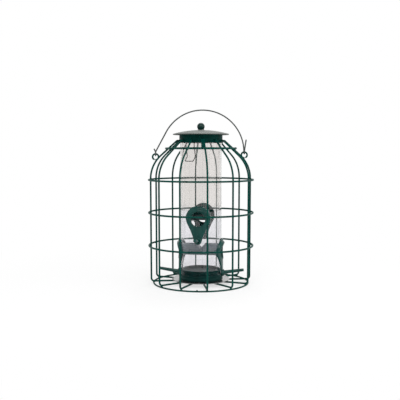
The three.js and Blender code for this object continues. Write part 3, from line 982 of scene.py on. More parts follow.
@dataclass(frozen=True)
class BareMetal:
    """Bare bright metal: plated sheet or spring wire, with a cloudy bloom and fine drawing marks."""

    name: str
    slot: str
    colour: Colour
    dull_colour: Colour
    roughness: float
    mark_depth: float
    marks: Corner = (1.0, 1.0, 1.0)
    mark_pattern: Pair = (900.0, 3.0)
    bloom: Pair = (140.0, 5.0)
    bloom_roughness: float = 0.6
    bloom_edges: Pair = (0.35, 0.65)
    wear: Pair = (220.0, 4.0)
    wear_steps: Pair = (-0.06, 0.12)

    def material(self) -> bpy.types.Material:
        """Builds the material.

        Returns:
            The material.
        """
        graph = Graph(self.name)
        bloom = graph.noise(*self.bloom, roughness=self.bloom_roughness)
        graph.shine(
            base_color=graph.ramp(bloom, self.dull_colour, self.colour, self.bloom_edges),
            roughness=graph.worn(self.wear, self.roughness, self.wear_steps),
            metallic=1.0,
        )
        graph.bumps((graph.noise(*self.mark_pattern, self.marks), self.mark_depth))
        return graph.material


class Finish(Enum):
    """The feeder's finishes, each made once and shared by its pieces."""

    CAGE_PAINT = PowderCoat(
        "cage_powder_coat", "green_paint", (0.001, 0.054, 0.042), (0.0005, 0.03, 0.024), 0.36, 0.06
    )
    LID_PAINT = PowderCoat(
        "lid_flake_paint",
        "lid_paint",
        (0.145, 0.157, 0.147),
        (0.124, 0.135, 0.126),
        0.46,
        0.2,
        peel=0.00003,
        flake=0.6,
    )
    COLLAR_PAINT = PowderCoat(
        "collar_powder_coat", "green_paint", (0.0005, 0.038, 0.031), (0.0003, 0.02, 0.016), 0.4, 0.03
    )
    BAIL_PAINT = PowderCoat(
        "bail_thin_coat", "bail_wire", (0.062, 0.072, 0.069), (0.042, 0.05, 0.047), 0.36, 0.22
    )
    # The plastic's pale tint on upward faces inside the tube is painted top light and painted reflection
    PLASTIC = MouldedPlastic(
        "moulded_green_plastic",
        "green_plastic",
        (0.001, 0.054, 0.046),
        (0.0005, 0.036, 0.031),
        0.24,
        0.26,
        DustFilm(),
    )
    KNOB_PLASTIC = MouldedPlastic(
        "knob_plastic", "green_plastic", (0.0005, 0.028, 0.022), (0.0003, 0.019, 0.015), 0.14, 0.2
    )
    CUP_PLASTIC = MouldedPlastic(
        "cup_plastic", "green_plastic", (0.002, 0.031, 0.028), (0.001, 0.017, 0.015), 0.4, 0.08
    )
    CLEAR = ClearTube("clear_tube", "clear_plastic", (0.875, 0.872, 0.89), (0.835, 0.817, 0.803))
    ZINC = BareMetal(
        "zinc_plated_steel", "zinc_steel", (0.31, 0.307, 0.31), (0.23, 0.23, 0.23), 0.17, 0.000008
    )
    SPRING = BareMetal(
        "spring_wire",
        "spring_steel",
        (0.12, 0.123, 0.12),
        (0.07, 0.072, 0.07),
        0.3,
        0.000006,
        marks=(1.0, 1.0, 0.1),
    )

    @cached_property
    def material(self) -> bpy.types.Material:
        """The finish's material."""
        return self.value.material()


def fit_piece(piece: bpy.types.Object, body: Body, finish: Finish, *nodes: str) -> None:
    """Puts a finished piece on its body, in its finish, in place of the frame's nodes.

    Args:
        piece: The piece, in its place at the origin.
        body: The body that it moves with.
        finish: The piece's finish.
        nodes: The frame's nodes that it stands for.
    """
    piece.data.materials.clear()
    piece.data.materials.append(finish.material)
    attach(piece, body.value)
    if nodes:
        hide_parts(*nodes)
    log.info("%s: %d faces on the %s", piece.name, len(piece.data.polygons), body.value)


# Sub-assemblies


@dataclass
class Cage:
    """The welded wire cage: bent wires, rings, the two eyes, the collar and the base plate."""

    sweeper: SweepTree
    welder: WeldTree
    wire_count: int = 12
    wire_radius: float = 0.00145
    flat_share: float = math.cos(math.pi / 6)
    weld_gap: float = 0.0002
    radius: float = 0.0822
    wall_lean: float = 0.0014
    shoulder_height: float = 0.1703
    dome_bend: float = 0.0508
    dome_slope: float = math.radians(42.6)
    top_run: float = 0.0038
    top_bend: float = 0.003
    foot_bend: float = 0.005
    inner_end: float = 0.024
    dome_ring_share: float = 0.624
    bottom_ring_inset: float = 0.004
    lower_ring_height: float = 0.0615
    upper_ring_drop: float = 0.0021
    ring_joint_azimuth: float = math.radians(81)
    foot_joint_azimuth: float = math.radians(-11.5)
    eye_wire_radius: float = 0.0014
    eye_radius: float = 0.0048
    eye_angles: dict[int, float] = field(
        default_factory=lambda: {1: math.radians(43.7), -1: math.radians(39.5)}
    )
    eye_start: float = math.radians(-95)
    eye_turn: float = math.radians(342)
    collar_radius: float = 0.0354
    collar_wall: float = 0.001
    collar_drop: float = 0.0036
    collar_bead: float = 0.0014
    collar_roll: float = 0.0008
    collar_bead_height: float = 0.0018
    collar_neck_height: float = 0.0026
    tab_width: float = 0.005
    tab_azimuth: float = math.radians(-3.6)
    tab_gap: float = 0.0003
    tab_thickness: float = 0.0009
    tab_bends: Pair = (0.002, 0.003)
    plate_rim: float = 0.0022
    plate_slope: float = 0.001
    plate_dip: float = 0.0003
    plate_seat: Pair = (0.0362, 0.037)
    bead_radius: float = 0.0017
    bead_height_share: float = 0.62
    bead_seed: int = 7
    joint_share: float = 1.22
    joint_height_share: float = 0.7
    joint_seed: int = 11

    @property
    def pitch(self) -> float:
        """Distance between the centre lines of two welded wires."""
        return 2 * self.wire_radius + self.weld_gap

    @property
    def foot_radius(self) -> float:
        """Radius of the wires' corner at the foot."""
        return self.radius - self.wall_lean

    @property
    def foot_height(self) -> float:
        """Height of the wires' centre line under the base plate, on top of the bottom ring."""
        return self.wire_radius * self.flat_share + self.pitch

    @property
    def corner_height(self) -> float:
        """Height of the corner between the wall and the dome's slope."""
        return self.shoulder_height + self.dome_bend * math.tan((QUARTER - self.dome_slope) / 2)

    @property
    def top_corner(self) -> float:
        """Radius of the corner between the dome's slope and the level run to the collar."""
        return self.collar_radius + self.top_run

    @property
    def top_height(self) -> float:
        """Height of the level run to the collar."""
        return self.corner_height + (self.radius - self.top_corner) * math.tan(self.dome_slope)

    @property
    def dome_ring_height(self) -> float:
        """Height of the wires where the dome's ring crosses them."""
        return self.corner_height + (self.top_height - self.corner_height) * self.dome_ring_share

    @property
    def ring_heights(self) -> dict[str, float]:
        """Heights of the three rings round the wall."""
        low, high = self.lower_ring_height, self.shoulder_height - self.upper_ring_drop
        return {"lower": low, "middle": (low + high) / 2, "upper": high}

    def wall_radius(self, height: float) -> float:
        """Radius of the wires' centre line in the wall, which leans in a little below the shoulder."""
        share = (self.shoulder_height - height) / (self.shoulder_height - self.foot_height)
        return self.radius + (self.foot_radius - self.radius) * share

    def beside_slope(self, height: float, offset: float) -> Vector:
        """A point beside the dome's straight slope, in the plane of a wire that faces +X.

        Args:
            height: Height of the foot of the point on the slope.
            offset: How far out it stands.

        Returns:
            The point.
        """
        out = self.radius - (height - self.corner_height) / math.tan(self.dome_slope)
        sine, cosine = math.sin(self.dome_slope), math.cos(self.dome_slope)
        return Vector((out + offset * sine, 0.0, height + offset * cosine))

    def wire_line(self) -> list[Vector]:
        """The centre line of a cage wire that faces +X.

        Returns:
            Its points, from the collar to the inner end.
        """
        start = Vector((self.collar_radius + self.weld_gap, 0, self.top_height))
        top_corner = Vector((self.top_corner, 0, self.top_height))
        dome_corner = Vector((self.wall_radius(self.corner_height), 0, self.corner_height))
        foot_corner = Vector((self.foot_radius, 0, self.foot_height))
        end = Vector((self.inner_end, 0, self.foot_height))
        path = WirePath(start, top_corner - start)
        path.bend(top_corner, dome_corner, self.top_bend)
        path.bend(dome_corner, foot_corner, self.dome_bend)
        path.bend(foot_corner, end, self.foot_bend)
        return path.run_to(end).points

    def wire_azimuths(self) -> list[float]:
        """The azimuths of the cage wires."""
        return [FULL_TURN * i / self.wire_count for i in range(self.wire_count)]

    def fit_wire(
        self, name: str, line: Sequence[Vector], radius: float, node: str, closed: bool = False
    ) -> None:
        """Builds one painted wire of the cage, open or a closed ring, in place of a node."""
        wire = self.sweeper.sweep(name, line, radius, Finish.CAGE_PAINT, closed=closed)
        fit_piece(wire, Body.CAGE, Finish.CAGE_PAINT, node)

    def build_wires(self) -> None:
        """Builds the bent wires, one after the other round the cage."""
        line = self.wire_line()
        for number, azimuth in enumerate(self.wire_azimuths(), start=1):
            turn = facing(azimuth)
            bent = [turn @ p for p in line]
            self.fit_wire(f"bent_wire_{number:02d}", bent, self.wire_radius, f"cage_wire_{number:02d}")

    def ring_sections(self) -> dict[str, Pair]:
        """Radius and height of each ring's centre line, by the ring's place.

        Returns:
            The radii and heights of the three wall rings, the dome's and the bottom one.
        """
        sections = {name: (self.wall_radius(h) + self.pitch, h) for name, h in self.ring_heights.items()}
        dome = self.beside_slope(self.dome_ring_height, self.pitch)
        sections["dome"] = (dome.x, dome.z)
        sections["bottom"] = (self.foot_radius - self.bottom_ring_inset, self.wire_radius * self.flat_share)
        return sections

    def build_rings(self) -> None:
        """Builds the five rings."""
        for name, (radius, height) in self.ring_sections().items():
            line = circle(radius, height, Facets.RING)
            section = self.wire_radius * (self.flat_share if name == "bottom" else 1)
            self.fit_wire(f"ring_{name}", line, section, f"{name}_ring", closed=True)

    def weld_places(self) -> list[tuple[Vector, Vector]]:
        """The middle and the normal of each weld between a wire and a ring or the collar.

        Returns:
            The middles and normals, wire by wire.
        """
        half = self.wire_radius + self.weld_gap / 2
        across = Vector((math.sin(self.dome_slope), 0, math.cos(self.dome_slope)))
        spots = [(Vector((self.wall_radius(h) + half, 0, h)), OUT) for h in self.ring_heights.values()]
        spots += [
            (self.beside_slope(self.dome_ring_height, half), across),
            (Vector((self.foot_radius - self.bottom_ring_inset, 0, self.foot_height - half)), UP),
            (Vector((self.collar_radius + self.weld_gap, 0, self.top_height)), OUT),
        ]
        turns = [facing(azimuth) for azimuth in self.wire_azimuths()]
        return [(turn @ place, turn.to_3x3() @ normal) for turn in turns for place, normal in spots]

    def joint_places(self, swell: float) -> list[tuple[Vector, Vector]]:
        """The middle of each ring's butt joint, kept within the wire's outer side and off the ground.

        Args:
            swell: Radius of the swollen joints.

        Returns:
            The middles, each with the ring's direction there.
        """
        largest = swell * (1 + self.welder.size_spread)
        places = []
        for name, (radius, height) in self.ring_sections().items():
            turn = facing(self.foot_joint_azimuth if name == "bottom" else self.ring_joint_azimuth)
            middle = Vector((radius + self.wire_radius - largest, 0, max(height, largest)))
            places.append((turn @ middle, turn.to_3x3() @ BACK))
        return places

    def build_welds(self) -> None:
        """Builds the weld beads and the butt joints that close the rings."""
        swell = self.wire_radius * self.joint_share
        for name, places, radius, share, seed in (
            ("weld_beads", self.weld_places(), self.bead_radius, self.bead_height_share, self.bead_seed),
            ("ring_joints", self.joint_places(swell), swell, self.joint_height_share, self.joint_seed),
        ):
            beads = self.welder.beads(name, places, radius, share, Finish.CAGE_PAINT, seed)
            fit_piece(beads, Body.CAGE, Finish.CAGE_PAINT)

    def eye_centre(self, side: int) -> Vector:
        """Centre of the bail's eye on one side.

        Args:
            side: 1 for the right and -1 for the left.

        Returns:
            The centre.
        """
        angle = self.eye_angles[side]
        reach = self.dome_bend + self.eye_radius
        out = self.radius - self.dome_bend + reach * math.cos(angle)
        plane = -((self.wire_radius + self.eye_wire_radius) * self.flat_share + self.weld_gap)
        return Vector((side * out, plane, self.shoulder_height + reach * math.sin(angle)))

    def build_eyes(self) -> None:
        """Builds the two eyes, each one turn of wire that is welded beside a cage wire."""
        for side, name in ((1, "right"), (-1, "left")):
            centre = self.eye_centre(side)
            axis = BACK * side
            spoke = Quaternion(axis, self.eye_start) @ Vector((-side * self.eye_radius, 0, 0))
            path = WirePath(centre + spoke, axis.cross(spoke))
            path.arc(centre, axis, self.eye_turn)
            self.fit_wire(f"bail_eye_{name}", path.points, self.eye_wire_radius, f"eye_{name}")

    def build_collar(self) -> None:
        """Builds the pressed collar with its rolled foot and the strap over the front wire."""
        draft = Draft()
        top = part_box("collar")[1].z
        bottom = self.top_height - self.collar_drop
        bore = self.collar_radius - self.collar_wall
        bead = self.collar_radius + self.collar_bead
        profile = [
            (bore, bottom, CRISP),
            (bead, bottom, self.collar_roll),
            (bead, bottom + self.collar_bead_height, self.collar_roll),
            (self.collar_radius, bottom + self.collar_neck_height, ROUND),
            (self.collar_radius, top, SMALL),
            (bore, top, SMALL),
        ]
        draft.lathe(profile, Facets.CUP)
        self.add_strap(draft)
        fit_piece(draft.to_object("collar_sheet"), Body.CAGE, Finish.COLLAR_PAINT, "collar")

    def add_strap(self, draft: Draft) -> None:
        """Adds the strap of sheet that lies over the front wire, from the collar to the dome ring.

        Args:
            draft: The draft that it goes to.
        """
        low = self.wire_radius + self.tab_gap
        high = low + self.tab_thickness
        end = self.dome_ring_height + low * math.sin(self.dome_slope)
        root = self.collar_radius - self.collar_wall / 2
        half = math.tan(self.dome_slope / 2)
        slope_low, slope_high = self.beside_slope(end, low), self.beside_slope(end, high)
        outline = [
            (root, self.top_height + low, 0),
            (self.top_corner + low * half, self.top_height + low, self.tab_bends[0]),
            (slope_low.x, slope_low.z, CRISP),
            (slope_high.x, slope_high.z, SMALL),
            (self.top_corner + high * half, self.top_height + high, self.tab_bends[1]),
            (root, self.top_height + high, 0),
        ]
        upright = facing(self.tab_azimuth) @ Matrix.Rotation(QUARTER, 4, "X")
        draft.prism(eased(outline), -self.tab_width / 2, self.tab_width / 2, upright)

    def build_plate(self) -> None:
        """Builds the base plate, a pressed disc with a turned edge and a shallow ring."""
        low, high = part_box("base_plate")
        edge, bottom, top = high.x, low.z, high.z
        floor = top - self.plate_dip
        profile = [
            (SCREW_HOLE, bottom, CRISP),
            (edge, bottom, FINE),
            (edge, top, SMALL),
            (edge - self.plate_rim, top, SOFT),
            (edge - self.plate_rim - self.plate_slope, floor, SOFT),
            (self.plate_seat[1], floor, SOFT),
            (self.plate_seat[0], top, SOFT),
            (SCREW_HOLE, top, CRISP),
        ]
        draft = Draft()
        draft.lathe(profile, Facets.CUP)
        fit_piece(draft.to_object("base_plate_disc"), Body.CAGE, Finish.ZINC, "base_plate")

    def build(self) -> None:
        """Builds the whole cage."""
        self.build_wires()
        self.build_rings()
        self.build_welds()
        self.build_eyes()
        self.build_collar()
        self.build_plate()


@dataclass
class FeedingPort:
    """One port moulding and its perch, sized in the port's own frame: out, aside and up from the hole."""

    place: Place
    hole_radius: float = 0.0115
    head_radius: float = 0.02
    head_rise: float = 0.0011
    tip_radius: float = 0.0063
    tip_drop: float = 0.0337
    side_sag: float = 0.0013
    seat_radius: float = 0.0342
    thickness: float = 0.0022
    lip_radius: float = 0.0136
    lip_rise: float = 0.0028
    lip_lean: float = math.radians(26.6)
    lip_fall: float = math.radians(40.7)
    lip_ease: float = 0.0009
    bead_width: float = 0.0016
    bead_rise: float = 0.0005
    hood_wall: float = 0.0015
    hood_skirt: float = 0.0046
    hood_end: float = 0.0003
    hood_slant_start: float = 0.0055
    boss_radius: float = 0.0048
    boss_reach: float = 0.0388
    boss_root: float = 0.0004
    boss_flare: float = 0.0012
    boss_taper: float = 0.0002
    boss_neck: Pair = (0.0024, 0.0034)
    socket_floor: float = 0.0012
    perch_drop: float = 0.0345
    perch_datum: float = 0.0339
    perch_tilt: float = math.radians(8.2)
    perch_start: float = 0.0015
    perch_root_radius: float = 0.003
    perch_tip_radius: float = 0.0023
    perch_reach: float = 0.0709
    perch_taper: float = 0.004
    perch_fit: float = 0.0002
    perch_steps: int = 5
    hole_foot: float = 0.0004
    outline_points: int = 132
    side_steps: int = 60
    tip_steps: int = 24
    hood_steps: int = 32
    hood_legs: Corner = (1.0, 0.66, 0.33)
    hood_stations: tuple[float, ...] = (0.0, 0.2, 0.4, 0.6, 0.8, 0.92, 1.0)
    hood_slant_inset: float = 0.4
    edge_steps: tuple[float, ...] = (
        0.0, 0.0001, 0.0003, 0.0006, 0.0012, 0.002, 0.0028, 0.0036, 0.0044, 0.0052,
    )
    face_shares: Pair = (0.33, 0.67)
    hole_steps: tuple[float, ...] = (
        0.0, 0.00012, 0.00035, 0.0006, 0.0008, 0.0011, 0.0014, 0.0016, 0.0019, 0.0022, 0.0026,
    )
    sharp_angle: float = math.radians(40)

    @property
    def height(self) -> float:
        """Height of the hole's centre: the top of the frame's node stands a known rise above it."""
        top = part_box(f"port_{self.place.node_ending}")[1].z
        return top - self.head_rise - self.head_radius

    @property
    def to_feeder(self) -> Matrix:
        """The port's own frame in the feeder's."""
        return Matrix.Translation((0, 0, self.height)) @ facing(self.place.azimuth)

    @property
    def perch_frame(self) -> Matrix:
        """The perch's axis as a Z axis, in the port's own frame."""
        root = -self.perch_drop - self.perch_datum * math.tan(self.perch_tilt)
        return Matrix.Translation((0, 0, root)) @ Matrix.Rotation(QUARTER - self.perch_tilt, 4, "Y")

    def outline(self) -> list[Pair]:
        """The teardrop's outline, aside and up, at even steps along its length.

        Returns:
            Its points, from the tip's foot over the right side.
        """
        flank = math.asin((self.head_radius - self.tip_radius) / (self.head_rise + self.tip_drop))
        on_head = on_arc(self.head_radius, -flank, self.head_rise)
        on_tip = on_arc(self.tip_radius, -flank, -self.tip_drop)
        sag = Vector((-math.cos(flank), math.sin(flank))) * (2 * self.side_sag)
        pull = (on_head + on_tip) / 2 + sag
        count = self.tip_steps
        tip = [
            on_arc(self.tip_radius, -QUARTER + (QUARTER - flank) * i / count, -self.tip_drop)
            for i in range(count)
        ]
        count = self.side_steps
        side = [
            on_tip * (1 - t) ** 2 + pull * (2 * t * (1 - t)) + on_head * t**2
            for t in (i / count for i in range(count))
        ]
        head = [
            on_arc(self.head_radius, -flank + (QUARTER + flank) * i / count, self.head_rise)
            for i in range(count + 1)
        ]
        right = tip + side + head
        fine = right + [Vector((-p.x, p.y)) for p in reversed(right[1:-1])]
        return self.evenly(fine, self.outline_points)

    @staticmethod
    def evenly(line: Sequence[Vector], count: int) -> list[Pair]:
        """Places a number of points at even steps along a closed line.

        Args:
            line: The line's points.
            count: How many to place.

        Returns:
            The points placed.
        """
        closed = [*line, line[0]]
        lengths = [0.0]
        for a, b in zip(closed, closed[1:]):
            lengths.append(lengths[-1] + (b - a).length)
        spaced: list[Pair] = []
        at = 0
        for i in range(count):
            goal = lengths[-1] * i / count
            while lengths[at + 1] < goal:
                at += 1
            share = (goal - lengths[at]) / (lengths[at + 1] - lengths[at])
            spaced.append(tuple(closed[at].lerp(closed[at + 1], share)))
        return spaced

    def lip(self, spot: Vector) -> float:
        """How far the rain lip stands over the seat: a low cone, cut by a plane that leans to its foot.

        Args:
            spot: Place on the face, aside and up from the hole's centre.

        Returns:
            The lip's height there, below the face where there is none.
        """
        rim = self.seat_radius + self.thickness + self.lip_rise
        apart = (spot - Vector((0, self.head_rise))).length
        cone = rim - max(0.0, apart - self.lip_radius) * math.tan(self.lip_fall)
        plane = rim - (self.head_rise + self.lip_radius - spot.y) * math.tan(self.lip_lean)
        share = min(1.0, max(0.0, 0.5 + (plane - cone) / (2 * self.lip_ease)))
        out = plane + (cone - plane) * share - self.lip_ease * share * (1 - share)
        return math.hypot(max(out, 0.0), spot.x) - self.seat_radius

    def relief(self, spot: Vector, from_edge: float, from_hole: float) -> float:
        """How far the moulding's outer face stands over the tube.

        Args:
            spot: Place on the face, aside and up from the hole's centre.
            from_edge: Distance from the teardrop's edge.
            from_hole: Distance from the hole's edge.

        Returns:
            The height of the face over its seat.
        """
        lip = self.lip(spot)
        share = min(1.0, max(0.0, 0.5 + (lip - self.thickness) / (2 * self.lip_ease)))
        rise = self.thickness + (lip - self.thickness) * share
        if from_hole < self.bead_width:
            across = 2 * from_hole / self.bead_width - 1
            rise += self.bead_rise * math.sqrt(max(0.0, 1 - across * across)) * (1 - share)
        nearest = min(from_edge, from_hole)
        if nearest < SOFT:
            rise -= SOFT - math.sqrt(SOFT**2 - (SOFT - nearest) ** 2)
        return rise

    def saddle_point(self, aside: float, up: float, over: float) -> Vector:
        """A point that stands over the saddle's seat on the round tube."""
        reach = self.seat_radius + over
        return Vector((math.sqrt(reach**2 - aside**2), aside, up))

    def add_flange(self, draft: Draft) -> None:
        """Adds the saddle flange with its rain lip and its beaded hole.

        Args:
            draft: The draft that it goes to.
        """
        placed = []
        for aside, up in self.outline():
            edge = Vector((aside, up))
            hole = edge.normalized() * self.hole_radius
            inwards = (hole - edge).normalized()
            span = (hole - edge).length
            outer = [edge + inwards * step for step in self.edge_steps]
            inner = [hole - inwards * step for step in reversed(self.hole_steps)]
            face = [outer[-1].lerp(inner[0], share) for share in self.face_shares]
            front = []
            for spot in [*outer, *face, *inner]:
                from_edge = (spot - edge).length
                front.append((*spot, self.relief(spot, from_edge, span - from_edge)))
            back = [(*edge.lerp(hole, share), 0.0) for share in (1.0, 0.5, 0.0)]
            placed.append([*back, *front, (*hole, self.hole_foot)])
        rows = [draft.add(self.saddle_point(*point) for point in row) for row in zip(*placed)]
        draft.sleeve(rows, closed=True)

    def add_hood_skin(self, draft: Draft, radius: float, inset: float) -> list[list[int]]:
        """Adds the points of the hood's outer or inner skin.

        Args:
            draft: The draft that they go to.
            radius: The skin's radius over the hole's centre.
            inset: How far its end lies inside the hood's end.

        Returns:
            The points' numbers, in rows from the tube's wall to the hood's end.
        """
        turn = [math.pi - math.pi * i / self.hood_steps for i in range(self.hood_steps + 1)]
        legs = [-self.hood_skirt * share for share in self.hood_legs]
        section = [(-radius, v) for v in legs]
        section += [(radius * math.cos(a), radius * math.sin(a)) for a in turn]
        section += [(radius, v) for v in reversed(legs)]
        front = self.seat_radius + self.thickness / 2
        rows: list[list[Vector]] = [[] for _ in self.hood_stations]
        for aside, up in section:
            start = math.sqrt(max(front**2 - aside**2, 0.0))
            lean = max(0.0, up + inset * self.hood_slant_inset - self.hood_slant_start)
            end = self.hood_end + inset + lean
            for row, share in zip(rows, self.hood_stations):
                row.append(Vector((start + (end - start) * share, aside, up)))
        return [draft.add(row) for row in rows]

    def add_hood(self, draft: Draft) -> None:
        """Adds the baffle hood: a round-topped shell that reaches to the tube's axis, open below.

        Args:
            draft: The draft that it goes to.
        """
        outside = self.add_hood_skin(draft, self.hole_radius + self.hood_wall, 0.0)
        inside = self.add_hood_skin(draft, self.hole_radius, self.hood_wall)
        for rows in (outside, inside):
            for low, high in zip(rows, rows[1:]):
                draft.bridge(low, high, closed=False)
            end = rows[-1]
            middle = (len(end) - 1) // 2 + 1
            draft.bridge(end[:middle], end[::-1][:middle], closed=False)
        draft.bridge(outside[0], inside[0], closed=False)
        for k in range(len(outside) - 1):
            for j in (0, -1):
                draft.faces.append([outside[k][j], outside[k + 1][j], inside[k + 1][j], inside[k][j]])
        draft.faces.append([outside[-1][0], outside[-1][-1], inside[-1][-1], inside[-1][0]])

    def add_boss(self, draft: Draft) -> None:
        """Adds the perch's boss, flared where it leaves the flange, with its blind socket.

        Args:
            draft: The draft that it goes to.
        """
        start, floor = self.seat_radius + self.boss_root, self.seat_radius + self.socket_floor
        flare = self.boss_radius + self.boss_flare
        bore = self.perch_root_radius + self.perch_fit
        profile = [
            (0, start, 0),
            (flare, start, 0),
            (flare - self.boss_taper, self.seat_radius + self.boss_neck[0], SOFT),
            (self.boss_radius, self.seat_radius + self.boss_neck[1], ROUND),
            (self.boss_radius, self.boss_reach, SOFT),
            (bore, self.boss_reach, SMALL),
            (bore, floor, FINE),
            (0, floor, 0),
        ]
        draft.lathe(profile, Facets.SCREW, self.perch_frame)

    def add_perch(self, draft: Draft) -> None:
        """Adds the tapered perch that sits in the boss.

        Args:
            draft: The draft that it goes to.
        """
        start = self.seat_radius + self.perch_start
        profile = [
            (0, start, 0),
            (self.perch_root_radius, start, SMALL),
            (self.perch_root_radius, self.boss_reach, self.perch_taper),
            (self.perch_tip_radius, self.perch_reach, ROUND),
            (0, self.perch_reach, 0),
        ]
        draft.lathe(profile, Facets.PEG, self.perch_frame, self.perch_steps)

    def build(self) -> None:
        """Builds the port and its perch."""
        ending = self.place.node_ending
        port, peg = Draft(), Draft()
        self.add_flange(port)
        self.add_hood(port)
        self.add_boss(port)
        self.add_perch(peg)
        for made, node in (
            (port.to_object(f"feeding_port_{ending}", self.sharp_angle), f"port_{ending}"),
            (peg.to_object(f"perch_peg_{ending}"), f"perch_{ending}"),
        ):
            made.data.transform(self.to_feeder)
            fit_piece(made, Body.CAGE, Finish.PLASTIC, node)


@dataclass
class SeedHolder:
    """The clear tube with its ports and perches, the cup at its foot, and the screw that holds it down."""

    tube_radius: float = 0.0339
    tube_wall: float = 0.0016
    bead_radius: float = 0.0355
    spigot_radius: float = 0.032
    spigot_wall: float = 0.0015
    fit: float = 0.0003
    floor_drop: float = 0.0045
    floor_crown: float = 0.0008
    floor_thickness: float = 0.0018
    rib_count: int = 6
    rib_thickness: float = 0.0014
    rib_overlap: float = 0.0005
    rib_inset: float = 0.0003
    boss_radius: float = 0.0045
    pilot_depth: float = 0.0086
    cup_bore_round: float = 0.001
    cup_floor_round: float = 0.0012
    bead_height: float = 0.003
    neck_height: float = 0.0042
    neck_round: float = 0.0008
    cutter_reach: float = 1.4
    tube_edge_steps: int = 2

    def build_tube(self) -> None:
        """Builds the clear tube with a hole for each port's hood."""
        low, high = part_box("seed_tube")
        bore, out = self.tube_radius - self.tube_wall, self.tube_radius
        wall = Draft()
        profile = [(bore, low.z, CRISP), (out, low.z, FINE), (out, high.z, FINE), (bore, high.z, CRISP)]
        wall.lathe(profile, Facets.TUBE, steps=self.tube_edge_steps)
        tube = wall.to_object("clear_seed_tube")
        cutters = []
        for place in Place:
            port = FeedingPort(place)
            radius = math.hypot(port.hole_radius + port.hood_wall, port.hood_skirt) + self.fit
            across = port.to_feeder @ Matrix.Rotation(QUARTER, 4, "Y")
            reach = self.tube_radius * self.cutter_reach
            plug = Draft()
            plug.lathe([(0, 0, 0), (radius, 0, 0), (radius, reach, 0), (0, reach, 0)], Facets.KNOB, across)
            cutters.append(plug.to_object("hole_cutter"))
        cut(tube, cutters)
        fit_piece(tube, Body.CAGE, Finish.CLEAR, "seed_tube")

    def build_cup(self) -> None:
        """Builds the moulded cup: a beaded foot, a spigot inside the tube, and ribs under its floor."""
        low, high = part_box("base_cup")
        bottom, rim = low.z, high.z
        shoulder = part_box("seed_tube")[0].z - self.fit
        floor = rim - self.floor_drop
        under = floor - self.floor_thickness
        bore = self.spigot_radius - self.spigot_wall
        profile = [
            (0, bottom + self.pilot_depth, 0),
            (SCREW_HOLE, bottom + self.pilot_depth, FINE),
            (SCREW_HOLE, bottom, CRISP),
            (self.boss_radius, bottom, SMALL),
            (self.boss_radius, under, SOFT),
            (bore, under, self.cup_bore_round),
            (bore, bottom, FINE),
            (self.bead_radius, bottom, SOFT),
            (self.bead_radius, bottom + self.bead_height, ROUND),
            (self.tube_radius, bottom + self.neck_height, self.neck_round),
            (self.tube_radius, shoulder, FINE),
            (self.spigot_radius, shoulder, CRISP),
            (self.spigot_radius, rim, SOFT),
            (bore, rim, SOFT),
            (bore, floor, self.cup_floor_round),
            (0, floor + self.floor_crown, 0),
        ]
        draft = Draft()
        draft.lathe(profile, Facets.CUP)
        start, end = self.boss_radius - self.rib_overlap, bore + self.rib_overlap
        half = self.rib_thickness / 2
        outline = [(start, -half), (end, -half), (end, half), (start, half)]
        for i in range(self.rib_count):
            turn = Matrix.Rotation(FULL_TURN * i / self.rib_count, 4, "Z")
            draft.prism(outline, bottom + self.rib_inset, under + self.rib_inset, turn)
        fit_piece(draft.to_object("base_cup_moulding"), Body.CAGE, Finish.CUP_PLASTIC, "base_cup")

    def build(self) -> None:
        """Builds the seed holder."""
        self.build_tube()
        self.build_cup()
        for place in Place:
            FeedingPort(place).build()
        Screw("base", Body.CAGE, "base_screw", "base_washer").build()


@dataclass
class Screw:
    """A slotted pan head screw and its washer, as large as the frame's nodes."""

    place: str
    body: Body
    screw_node: str
    washer_node: str
    shank_radius: float = 0.002
    head_height: float = 0.0022
    head_round: float = 0.0014
    point_length: float = 0.001
    slot_depth: float = 0.001
    slot_half_width: float = 0.0005
    slot_reach: float = 1.2
    washer_edge_steps: int = 2

    def build(self) -> None:
        """Builds the screw and its washer."""
        low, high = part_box(self.screw_node)
        head, shank, seat = high.x, self.shank_radius, low.z + self.head_height
        profile = [
            (0, low.z, 0),
            (head, low.z, self.head_round),
            (head, seat, CRISP),
            (shank, seat, CRISP),
            (shank, high.z - self.point_length, FINE),
            (shank / 2, high.z, CRISP),
            (0, high.z, 0),
        ]
        screw, slot, washer = Draft(), Draft(), Draft()
        screw.lathe(profile, Facets.SCREW)
        made = screw.to_object(f"{self.place}_screw_body")
        x, y = head * self.slot_reach, self.slot_half_width
        outline = [(-x, -y), (x, -y), (x, y), (-x, y)]
        slot.prism(outline, low.z - self.slot_depth, low.z + self.slot_depth)
        cut(made, [slot.to_object("slot_cutter")])
        fit_piece(made, self.body, Finish.ZINC, self.screw_node)
        low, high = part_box(self.washer_node)
        corners = [(SCREW_HOLE, low.z), (high.x, low.z), (high.x, high.z), (SCREW_HOLE, high.z)]
        washer.lathe([(r, z, CRISP) for r, z in corners], Facets.KNOB, steps=self.washer_edge_steps)
        fit_piece(
            washer.to_object(f"{self.place}_washer_ring"), self.body, Finish.ZINC, self.washer_node
        )


